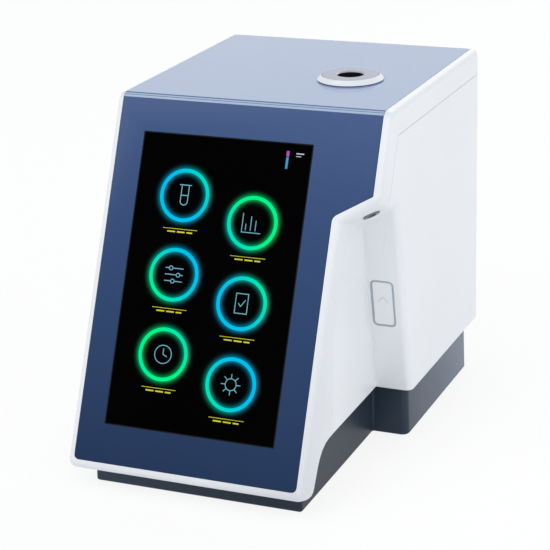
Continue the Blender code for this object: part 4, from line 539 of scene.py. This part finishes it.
def build_turned():
    """Satin grey top of the tube adapter, with the fine rings of its turning and painted shade, black, inside
    its bore.
    """
    finish = Finish("turned_ring")
    low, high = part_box("tube_adapter")
    axis = ((low.x + high.x) / 2, (low.y + high.y) / 2, 0.0)
    bore_radius = 0.0101
    bore_painted_shade = (0.012, 0.012, 0.014)
    rings = finish.tree.nodes.new("ShaderNodeTexWave")
    rings.wave_type = "RINGS"
    rings.rings_direction = "Z"
    rings.inputs["Scale"].default_value = 700.0
    rings.inputs["Distortion"].default_value = 0.6
    put(finish.tree, rings.inputs["Vector"], vector_node(finish.tree, "SUBTRACT", finish.position, axis))
    tone = finish.grain((0.26, 0.36), Grain_Scale=800.0, Drift_Scale=25.0)
    satin = finish.ramp(tone, (0.34, 0.37, 0.45), (0.40, 0.43, 0.51))
    # Painted shade: everything inside the bore's radius is painted black
    bore = finish.group(BORE, Axis_Place=axis, Radius=bore_radius)
    finish.feed("Base Color", finish.blend(bore["Mask"], satin, bore_painted_shade))
    finish.bump(rings.outputs["Fac"], depth=0.000004)
    finish.set(Metallic=0.35)
    return finish


# Layout of the display: two columns of glowing rings, as shares of the screen

COLUMN_SHARES = (0.29, 0.71)
ROW_SHARES = (0.76, 0.49, 0.22)
STAGGER_SHARE = 0.035
RING_RADIUS = 0.0185
RING_WIDTH = 0.0027
CYAN = (0.0, 0.52, 0.86)
GREEN = (0.0, 0.95, 0.24)


def ring_places():
    """Middle of each ring (across, up the slope), the left column a little above the right one."""
    places = []
    for up in ROW_SHARES:
        for across, stagger in zip(COLUMN_SHARES, (STAGGER_SHARE, -STAGGER_SHARE)):
            x = SCREEN_LEFT + across * SCREEN_WIDTH
            places.append((x, SCREEN_BOTTOM + (up + stagger) * SCREEN_HEIGHT))
    return places


def drifting_colour(finish):
    """Cyan that drifts to green and back across the display."""
    wave = finish.group(WAVE, Direction=(46.0, 0.0, 31.0), Shift=0.6)
    return finish.blend(wave["Mask"], CYAN, GREEN)


def build_glass():
    """Black glass with the halos of the display's rings behind it."""
    finish = Finish("screen_glass")
    total = 0.0
    for x, rise in ring_places():
        centre = tuple(SLOPE @ Vector((x, 0.0, rise)))
        halo = finish.group(GLOW, Centre=centre, Radius=RING_RADIUS, Spread=0.0026)
        total = math_node(finish.tree, "ADD", halo["Glow"], total)
    finish.feed("Emission Color", finish.blend(total, BLACK, drifting_colour(finish)))
    tone = finish.grain((0.05, 0.09), Grain_Scale=40.0, Drift_Scale=12.0)
    finish.feed("Base Color", finish.ramp(tone, (0.0004, 0.0004, 0.0005), (0.0007, 0.0007, 0.0008)))
    finish.set(Emission_Strength=0.4, Specular_IOR_Level=0.005)
    return finish


# Softened edges for the CAD nodes

WELD_DISTANCE = 0.000005
PLAIN_ANGLE = math.radians(0.4)
BEVEL_ANGLE = math.radians(38)
SMOOTH_ANGLE = math.radians(32)


def geometry_group(name):
    """Empty group of geometry nodes; returns its tree, what it is given and where its result goes."""
    tree = bpy.data.node_groups.new(name, "GeometryNodeTree")
    for way in ("INPUT", "OUTPUT"):
        tree.interface.new_socket("Geometry", in_out=way, socket_type="NodeSocketGeometry")
    return tree, tree.nodes.new("NodeGroupInput").outputs[0], tree.nodes.new("NodeGroupOutput").inputs[0]


def fair_group():
    """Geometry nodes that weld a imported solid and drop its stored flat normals."""
    tree, given, result = geometry_group("welded_solid")
    weld = tree.nodes.new("GeometryNodeMergeByDistance")
    weld.inputs["Distance"].default_value = WELD_DISTANCE
    drop = tree.nodes.new("GeometryNodeRemoveAttribute")
    drop.inputs["Name"].default_value = "custom_normal"
    tree.links.new(given, weld.inputs["Geometry"])
    tree.links.new(weld.outputs["Geometry"], drop.inputs["Geometry"])
    tree.links.new(drop.outputs["Geometry"], result)
    return tree


def smooth_group():
    """Geometry nodes that shade faces smooth, but keep edges past an angle sharp."""
    tree, given, result = geometry_group("smooth_faces")
    faces = tree.nodes.new("GeometryNodeSetShadeSmooth")
    faces.domain = "FACE"
    edges = tree.nodes.new("GeometryNodeSetShadeSmooth")
    edges.domain = "EDGE"
    bend = tree.nodes.new("GeometryNodeInputMeshEdgeAngle")
    test = tree.nodes.new("FunctionNodeCompare")
    test.data_type = "FLOAT"
    test.operation = "LESS_EQUAL"
    test.inputs[1].default_value = SMOOTH_ANGLE
    tree.links.new(bend.outputs["Unsigned Angle"], test.inputs[0])
    tree.links.new(given, faces.inputs["Geometry"])
    tree.links.new(faces.outputs[0], edges.inputs["Geometry"])
    tree.links.new(test.outputs["Result"], edges.inputs["Shade Smooth"])
    tree.links.new(edges.outputs[0], result)
    return tree


FAIR = fair_group()
SMOOTH = smooth_group()


def soften(item, width, pierced=False):
    """Weld, bevel and smooth an object with modifiers, its own mesh left as it is."""
    weld = item.modifiers.new("weld", "NODES")
    weld.node_group = FAIR
    if not pierced:
        plain = item.modifiers.new("plain_faces", "DECIMATE")
        plain.decimate_type = "DISSOLVE"
        plain.angle_limit = PLAIN_ANGLE
    if width:
        bevel = item.modifiers.new("soft_edges", "BEVEL")
        bevel.width = width
        bevel.segments = 2
        bevel.limit_method = "ANGLE"
        bevel.angle_limit = BEVEL_ANGLE
        bevel.miter_outer = "MITER_ARC"
    shade = item.modifiers.new("smooth_faces", "NODES")
    shade.node_group = SMOOTH
    even = item.modifiers.new("even_normals", "WEIGHTED_NORMAL")
    even.keep_sharp = True


# Nodes with a finish other than their slot's
OWN_FINISH = {"front_panel": "front_lacquer", "top_panel": "top_lacquer", "tube_adapter": "turned_ring",
              "needle_outlet": "needle_bush", "front_frame": "white_frame"}

# Nodes with many holes, whose plain faces stay divided
PIERCED = ("rear_cover", "data_sockets", "hose_bay", "power_inlet")

# Width of the soft edges of the nodes that show most; the others keep sharp edges
EDGE_WIDTHS = {"front_frame": 0.0004, "left_cover": 0.0004, "right_cover": 0.0004, "front_panel": 0.0003,
               "top_panel": 0.0003, "base_tray": 0.0004, "start_plate": 0.0005, "port_ring": 0.0004,
               "tube_adapter": 0.0003, "needle_outlet": 0.0003, "hose_bay": 0.0003, "power_inlet": 0.0005,
               "switch_body": 0.0004, "power_rocker": 0.0004, "data_sockets": 0.00015}


def dress_nodes(finishes):
    """Give each CAD node the finish of its own, or else that of its slot, and soft edges."""
    for name, node in NODES.items():
        finish = finishes[OWN_FINISH.get(name) or SLOTS[name]]
        node.data.materials.clear()
        node.data.materials.append(finish.material)
        soften(node, EDGE_WIDTHS.get(name, 0.0), pierced=name in PIERCED)


# Tools for the pieces made here

def make_piece(name, mesh, finish, body="housing", transform=None):
    """Object made of a finished mesh, moved to its place, that rides on a body."""
    if transform is not None:
        bmesh.ops.transform(mesh, matrix=transform, verts=mesh.verts)
    data = bpy.data.meshes.new(name)
    mesh.to_mesh(data)
    mesh.free()
    data.materials.append(finish.material)
    piece = bpy.data.objects.new(name, data)
    bpy.context.scene.collection.objects.link(piece)
    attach(piece, body)
    return piece


def add_ribbon(mesh, points, width, closed=False):
    """Flat stroke of even width along points (across, up), with mitred corners."""
    mitre_limit = 0.4
    spots = [Vector(point) for point in points]
    count = len(spots)
    rows = []
    for i, spot in enumerate(spots):
        runs = []
        if closed or i > 0:
            runs.append((spot - spots[i - 1]).normalized())
        if closed or i < count - 1:
            runs.append((spots[(i + 1) % count] - spot).normalized())
        sides = [Vector((run.y, -run.x)) for run in runs]
        mitre = sum(sides, Vector((0.0, 0.0))).normalized()
        reach = width / 2 / max(mitre.dot(sides[0]), mitre_limit)
        rows.append([mesh.verts.new((*(spot + mitre * side), 0.0)) for side in (-reach, reach)])
    for i in range(count if closed else count - 1):
        left, right = rows[i], rows[(i + 1) % count]
        mesh.faces.new((left[0], right[0], right[1], left[1]))


def stroke_piece(name, strokes, finish, stand, body="housing"):
    """Flat strokes of (points, width, closed), drawn as one thin sheet and stood in its place."""
    mesh = bmesh.new()
    for points, width, closed in strokes:
        add_ribbon(mesh, points, width, closed)
    make_piece(name, mesh, finish, body, stand)


def arc(centre, radius, start=0.0, sweep=2 * math.pi, steps=72, closed=True):
    """Points along an arc, without its last one where it closes on its first."""
    total = steps if closed else steps + 1
    return [(centre[0] + radius * math.cos(start + sweep * i / steps),
             centre[1] + radius * math.sin(start + sweep * i / steps)) for i in range(total)]


def rounded_loop(half_width, half_height, radius):
    """Outline of a rounded rectangle as (across, up) points."""
    steps = 6
    points = []
    for turn, (side, up) in enumerate(((1, 1), (-1, 1), (-1, -1), (1, -1))):
        centre = (side * (half_width - radius), up * (half_height - radius))
        points += arc(centre, radius, turn * math.pi / 2, math.pi / 2, steps, False)
    return points


def join_rows(mesh, rows):
    """Faces between each closed row of vertices and the next."""
    for lower, upper in zip(rows, rows[1:]):
        for i in range(len(lower)):
            j = (i + 1) % len(lower)
            mesh.faces.new((lower[i], lower[j], upper[j], upper[i]))


def add_blocks(mesh, spots, size):
    """One rectangular block of the given size at each spot."""
    for spot in spots:
        made = bmesh.ops.create_cube(mesh, size=1.0)["verts"]
        bmesh.ops.scale(mesh, vec=size, verts=made)
        bmesh.ops.translate(mesh, vec=spot, verts=made)


def evenly(count, pitch):
    """Offsets of evenly spaced items from their middle."""
    return [pitch * (i - (count - 1) / 2) for i in range(count)]


# Motifs inside the rings: strokes of (points, closed), one unit being the size of a motif

def line_across(left, right, up):
    """Straight level stroke."""
    return [(left, up), (right, up)]


def motif_tube():
    """Open tube with its rim and the level of its sample."""
    half, rim = 0.3, 0.8
    bowl = arc((0.0, -0.45), half, math.pi, math.pi, 14, False)
    wall = [(-half, rim), (-half, -0.4)] + bowl + [(half, rim)]
    return [(wall, False), (line_across(-0.5, 0.5, rim), False), (line_across(-half, half, 0.0), False)]


def motif_chart():
    """Three bars between two axes."""
    foot = -0.6
    bars = [([(across, foot), (across, foot + height)], False)
            for across, height in ((-0.5, 0.5), (-0.1, 1.1), (0.3, 0.8))]
    axes = [(-0.8, 0.7), (-0.8, -0.75), (0.75, -0.75)]
    return bars + [(axes, False)]


def motif_sliders():
    """Three sliders with their round knobs."""
    end, knob_radius = 0.75, 0.15
    rows = []
    for up, knob in ((0.5, -0.3), (0.0, 0.35), (-0.5, -0.05)):
        rows.append((line_across(-end, knob - knob_radius, up), False))
        rows.append((line_across(knob + knob_radius, end, up), False))
        rows.append((arc((knob, up), knob_radius, steps=16), True))
    return rows


def motif_tick():
    """Page with a tick."""
    side, end = 0.5, 0.75
    page = [(-side, -end), (side, -end), (side, end), (-side, end)]
    tick = [(-0.26, 0.02), (-0.05, -0.22), (0.3, 0.3)]
    return [(page, True), (tick, False)]


def motif_clock():
    """Round dial with its two hands."""
    hands = [(0.0, 0.45), (0.0, 0.0), (0.35, -0.15)]
    return [(arc((0.0, 0.0), 0.7, steps=40), True), (hands, False)]


def motif_wheel():
    """Hub with eight spokes."""
    hub, tip = arc((0.0, 0.0), 0.45, steps=8), arc((0.0, 0.0), 0.8, steps=8)
    spokes = [([inner, outer], False) for inner, outer in zip(hub, tip)]
    return spokes + [(arc((0.0, 0.0), 0.45, steps=28), True)]


MOTIFS = (motif_tube, motif_chart, motif_sliders, motif_tick, motif_clock, motif_wheel)


# Display

def display_sheet(name, strokes, finish):
    """Strokes drawn on the display, just over the glass."""
    stroke_piece(name, strokes, finish, SLOPE @ LAID_ON)


def build_display():
    """Glowing rings, each with its motif and, under it, a line and a short row of words."""
    motif_size, motif_stroke = RING_RADIUS * 0.52, 0.0006
    line_drop, line_half, line_stroke = RING_RADIUS * 1.36, RING_RADIUS * 0.75, 0.0004
    word_drop, word_stroke = 0.0022, 0.0010
    # Where each word starts and ends, as shares of the ring's radius
    words = ((-0.55, -0.2), (-0.12, 0.22), (0.3, 0.55))
    rings, drawn, captions = [], [], []
    for (x, rise), motif in zip(ring_places(), MOTIFS):
        rings.append((arc((x, rise), RING_RADIUS), RING_WIDTH, True))
        for points, closed in motif():
            placed = [(x + across * motif_size, rise + up * motif_size) for across, up in points]
            drawn.append((placed, motif_stroke, closed))
        low = rise - line_drop
        captions.append((line_across(x - line_half, x + line_half, low), line_stroke, False))
        for start, end in words:
            word = line_across(x + start * RING_RADIUS, x + end * RING_RADIUS, low - word_drop)
            captions.append((word, word_stroke, False))
    glowing = Finish("display_rings")
    glowing.feed("Emission Color", drifting_colour(glowing))
    glowing.set(Emission_Strength=1.0, Base_Color=(*BLACK, 1.0), Specular_IOR_Level=0.0)
    display_sheet("display_rings", rings, glowing)
    display_sheet("display_motifs", drawn, emissive("display_line", (0.20, 0.60, 0.74), 0.9))
    display_sheet("display_captions", captions, emissive("display_yellow", (0.80, 0.78, 0.03), 0.9))


def build_status_marks():
    """Two short lines of words and an upright level gauge at the screen's top right."""
    margin = 0.006
    right, top = SCREEN_RIGHT - margin, SCREEN_TOP - margin
    length, shortfall = 0.006, 0.002
    upper_drop, upper_stroke = 0.001, 0.0008
    lower_drop, lower_stroke = 0.003, 0.0005
    left = right - length
    words = [(line_across(left, right, top - upper_drop), upper_stroke, False),
             (line_across(left, right - shortfall, top - lower_drop), lower_stroke, False)]
    gauge_inset = 0.0125
    cap_drop, cap_rise, cap_width = 0.0035, 0.0005, 0.0022
    level_foot, level_drop, level_width = 0.0125, 0.0040, 0.0018
    gauge = right - gauge_inset
    cap = [(gauge, top - cap_drop), (gauge, top + cap_rise)]
    level = [(gauge, top - level_foot), (gauge, top - level_drop)]
    display_sheet("display_status", words, emissive("display_white", (0.75, 0.78, 0.82), 0.8))
    display_sheet("display_level_cap", [(cap, cap_width, False)],
                  emissive("display_violet", (0.62, 0.10, 0.80), 0.8))
    display_sheet("display_level", [(level, level_width, False)],
                  emissive("display_blue", (0.05, 0.45, 0.75), 0.8))


def build_screen_gasket(finishes):
    """Thin black gasket in the gap between the touch glass and the front panel."""
    width = 0.0009
    gap = 0.00015
    left, right = SCREEN_LEFT - gap, SCREEN_RIGHT + gap
    bottom, top = SCREEN_BOTTOM - gap, SCREEN_TOP + gap
    outline = [(left, bottom), (right, bottom), (right, top), (left, top)]
    stroke_piece("screen_gasket", [(outline, width, True)], finishes["screen_gasket"],
                 SLOPE @ LAID_ON)


# Start switch

def start_wall():
    """Frame on the face of the start plate: local X across, local Z up the niche's back wall."""
    low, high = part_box("start_plate")
    half_thickness = 0.0015
    outward = Vector((0.0, -math.cos(NICHE_WALL_LEAN), -math.sin(NICHE_WALL_LEAN))) * half_thickness
    return Matrix.Translation((low + high) / 2 + outward) @ Matrix.Rotation(NICHE_WALL_LEAN, 4, "X")


def build_start_details(finishes):
    """Grey seal round the start plate, and the faint chevron on it."""
    low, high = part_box("start_plate")
    corner_radius = 0.0026
    # What the leaning plate's thickness adds to its height
    edge_height = 0.0003
    half_width = (high.x - low.x) / 2
    half_height = (high.z - low.z) / 2 / math.cos(NICHE_WALL_LEAN) - edge_height
    # How far the seal's section reaches out from the plate's edge, and up from its face
    section = ((0.00005, -0.0008), (0.00005, 0.00004), (0.0003, 0.00016), (0.0012, 0.00016),
               (0.0016, 0.0), (0.0016, -0.0002))
    seal = bmesh.new()
    rows = []
    for grow, lift in section:
        loop = rounded_loop(half_width + grow, half_height + grow, corner_radius + grow)
        rows.append([seal.verts.new((across, -lift, up)) for across, up in loop])
    join_rows(seal, rows)
    piece = make_piece("start_seal", seal, finishes["start_seal"], transform=start_wall())
    piece.data.shade_smooth()
    mark_half, mark_foot, mark_tip, mark_stroke = 0.0042, 0.0010, 0.0058, 0.0008
    chevron = [(-mark_half, mark_foot), (0.0, mark_tip), (mark_half, mark_foot)]
    stroke_piece("start_mark", [(chevron, mark_stroke, False)], finishes["start_mark"],
                 start_wall() @ LAID_ON, body="start_plate")


# Seams of the side covers

def seam_points():
    """Front edge of the left cover's outer face: foot, bend, corner and rear end, as (y, z)."""
    low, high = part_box("left_cover")
    flatness = 0.00002
    # An end of the edge is sought by height and depth together, height counting this many times more
    pull = 4
    face = [vertex.co for vertex in NODES["left_cover"].data.vertices if vertex.co.x < low.x + flatness]
    foot = min(face, key=lambda spot: pull * spot.z + spot.y)
    corner = min(face, key=lambda spot: spot.y - pull * spot.z)
    rear = max(face, key=lambda spot: spot.y + pull * spot.z)
    run = Vector((corner.y - foot.y, corner.z - foot.z)).normalized()
    bend = max(face, key=lambda spot: run.x * (spot.z - foot.z) - run.y * (spot.y - foot.y))
    return [Vector((spot.y, spot.z)) for spot in (foot, bend, corner, rear)]


def build_seam_strips(finishes):
    """Thin grey strip laid just proud over the seam between the white frame and each side cover: painted
    shade of the seam's gap.
    """
    width = 0.0003
    proud = 0.00004
    forward = Vector((-0.00012, 0.0))
    niche_share = 0.42
    foot, bend, corner, rear = seam_points()
    for name, side, path in (("seam_strip_left", -1, (foot, bend, corner, rear)),
                             ("seam_strip_right", 1, (bend.lerp(corner, niche_share), corner, rear))):
        low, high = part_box("left_cover" if side < 0 else "right_cover")
        plane = high.x + proud if side > 0 else low.x - proud
        strip = [point + forward for point in path]
        stroke_piece(name, [(strip, width, False)], finishes["seam_shade_strip"],
                     Matrix.Translation((plane, 0.0, 0.0)) @ SIDEWAYS)


# Rear of the housing

def screw_mesh(radius, height):
    """Button head with a hexagon socket, its axis along +Z, its underside at zero."""
    mesh = bmesh.new()
    sides = 24
    flat_turn = math.pi / 3
    socket = radius * 0.45
    profile = ((radius, 0.0, False), (radius, height * 0.35, False), (radius * 0.86, height * 0.8, False),
               (radius * 0.6, height, False), (socket, height, True), (socket, height * 0.3, True))
    rings = []
    for reach, level, hexagon in profile:
        ring = []
        for i in range(sides):
            turn = 2 * math.pi * i / sides
            local = reach
            if hexagon:
                local = reach * math.cos(flat_turn / 2) / math.cos(turn % flat_turn - flat_turn / 2)
            ring.append(mesh.verts.new((local * math.cos(turn), local * math.sin(turn), level)))
        rings.append(ring)
    mesh.faces.new(rings[0][::-1])
    join_rows(mesh, rings)
    mesh.faces.new(rings[-1])
    return mesh


def build_rear_screws(finishes, low, high):
    """Six button screws, three down each side of the rear cover."""
    radius, height = 0.0028, 0.0014
    inset = 0.007
    sharp_angle = math.radians(35)
    outward = Matrix.Rotation(-math.pi / 2, 4, "X")
    levels = (low.z + inset, (low.z + high.z) / 2, high.z - inset)
    spots = [(side * (high.x - inset), high.y, level) for side in (-1, 1) for level in levels]
    for number, spot in enumerate(spots, 1):
        piece = make_piece("rear_screw_%d" % number, screw_mesh(radius, height), finishes["bright_steel"],
                           transform=Matrix.Translation(spot) @ outward)
        piece.data.shade_smooth()
        piece.data.set_sharp_from_angle(angle=sharp_angle)


def build_rear_plate(finishes, low, high):
    """Blank label plate with rounded corners and a small chamfer."""
    half_width, half_height, corner_radius = 0.031, 0.020, 0.003
    straight, thickness, chamfer = 0.0003, 0.0004, 0.0001
    across_share, rise = 0.42, 0.158
    plate = bmesh.new()
    rows = []
    for inset, out in ((0.0, 0.0), (0.0, straight), (chamfer, thickness)):
        loop = rounded_loop(half_width - inset, half_height - inset, corner_radius)
        rows.append([plate.verts.new((across, out, up)) for across, up in loop])
    join_rows(plate, rows)
    plate.faces.new(rows[-1])
    stand = Matrix.Translation((high.x * across_share, high.y, low.z + rise))
    make_piece("rear_label_plate", plate, finishes["aluminium"], transform=stand)


def build_rear_details(finishes):
    """Screws and label plate of the rear cover."""
    low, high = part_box("rear_cover")
    build_rear_screws(finishes, low, high)
    build_rear_plate(finishes, low, high)


def build_inlet_pins(finishes):
    """Three blades of the power inlet."""
    low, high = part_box("power_inlet")
    middle = (low + high) / 2
    blade = (0.0018, 0.014, 0.0042)
    blade_inset, blade_edge = 0.0095, 0.0003
    depth = high.y - blade_inset
    outer_reach, outer_up, earth_up = 0.0075, -0.0015, 0.0025
    spots = [(middle.x + across, depth, middle.z + up)
             for across, up in ((-outer_reach, outer_up), (0.0, earth_up), (outer_reach, outer_up))]
    mesh = bmesh.new()
    add_blocks(mesh, spots, blade)
    piece = make_piece("inlet_pins", mesh, finishes["bright_steel"])
    soften(piece, blade_edge)


def build_socket_contacts(finishes):
    """Tongues of the two small data sockets, and the contact comb of the network socket."""
    low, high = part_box("data_sockets")
    first_row, row_pitch, comb_drop, inset = 0.0048, 0.0100, 0.0095, 0.0085
    tongue_edge, contact_edge = 0.0002, 0.00005
    middle = (low.x + high.x) / 2
    depth = high.y - inset
    small_rows = (low.z + first_row, low.z + first_row + row_pitch)
    comb_row = high.z - comb_drop
    small_tongue, comb_tongue = (0.0110, 0.0130, 0.0017), (0.0100, 0.0110, 0.0016)
    tongues = bmesh.new()
    add_blocks(tongues, [(middle, depth, row) for row in small_rows], small_tongue)
    add_blocks(tongues, [(middle, depth, comb_row)], comb_tongue)
    piece = make_piece("socket_tongues", tongues, finishes["dark_plastic"])
    soften(piece, tongue_edge)
    small_contact, comb_contact = (0.0011, 0.0105, 0.0003), (0.0005, 0.0105, 0.0004)
    small_pitch, comb_pitch = 0.0024, 0.0011
    off_tongue, back = 0.0009, 0.001
    contacts = bmesh.new()
    for row in small_rows:
        spots = [(middle + across, depth + back, row - off_tongue) for across in evenly(4, small_pitch)]
        add_blocks(contacts, spots, small_contact)
    spots = [(middle + across, depth, comb_row + off_tongue) for across in evenly(8, comb_pitch)]
    add_blocks(contacts, spots, comb_contact)
    piece = make_piece("socket_contacts", contacts, finishes["gilt_contact"])
    soften(piece, contact_edge)


def main():
    set_camera()
    set_studio()
    finishes = build_materials()
    dress_nodes(finishes)
    build_display()
    build_status_marks()
    build_screen_gasket(finishes)
    build_start_details(finishes)
    build_seam_strips(finishes)
    build_rear_details(finishes)
    build_inlet_pins(finishes)
    build_socket_contacts(finishes)


main()
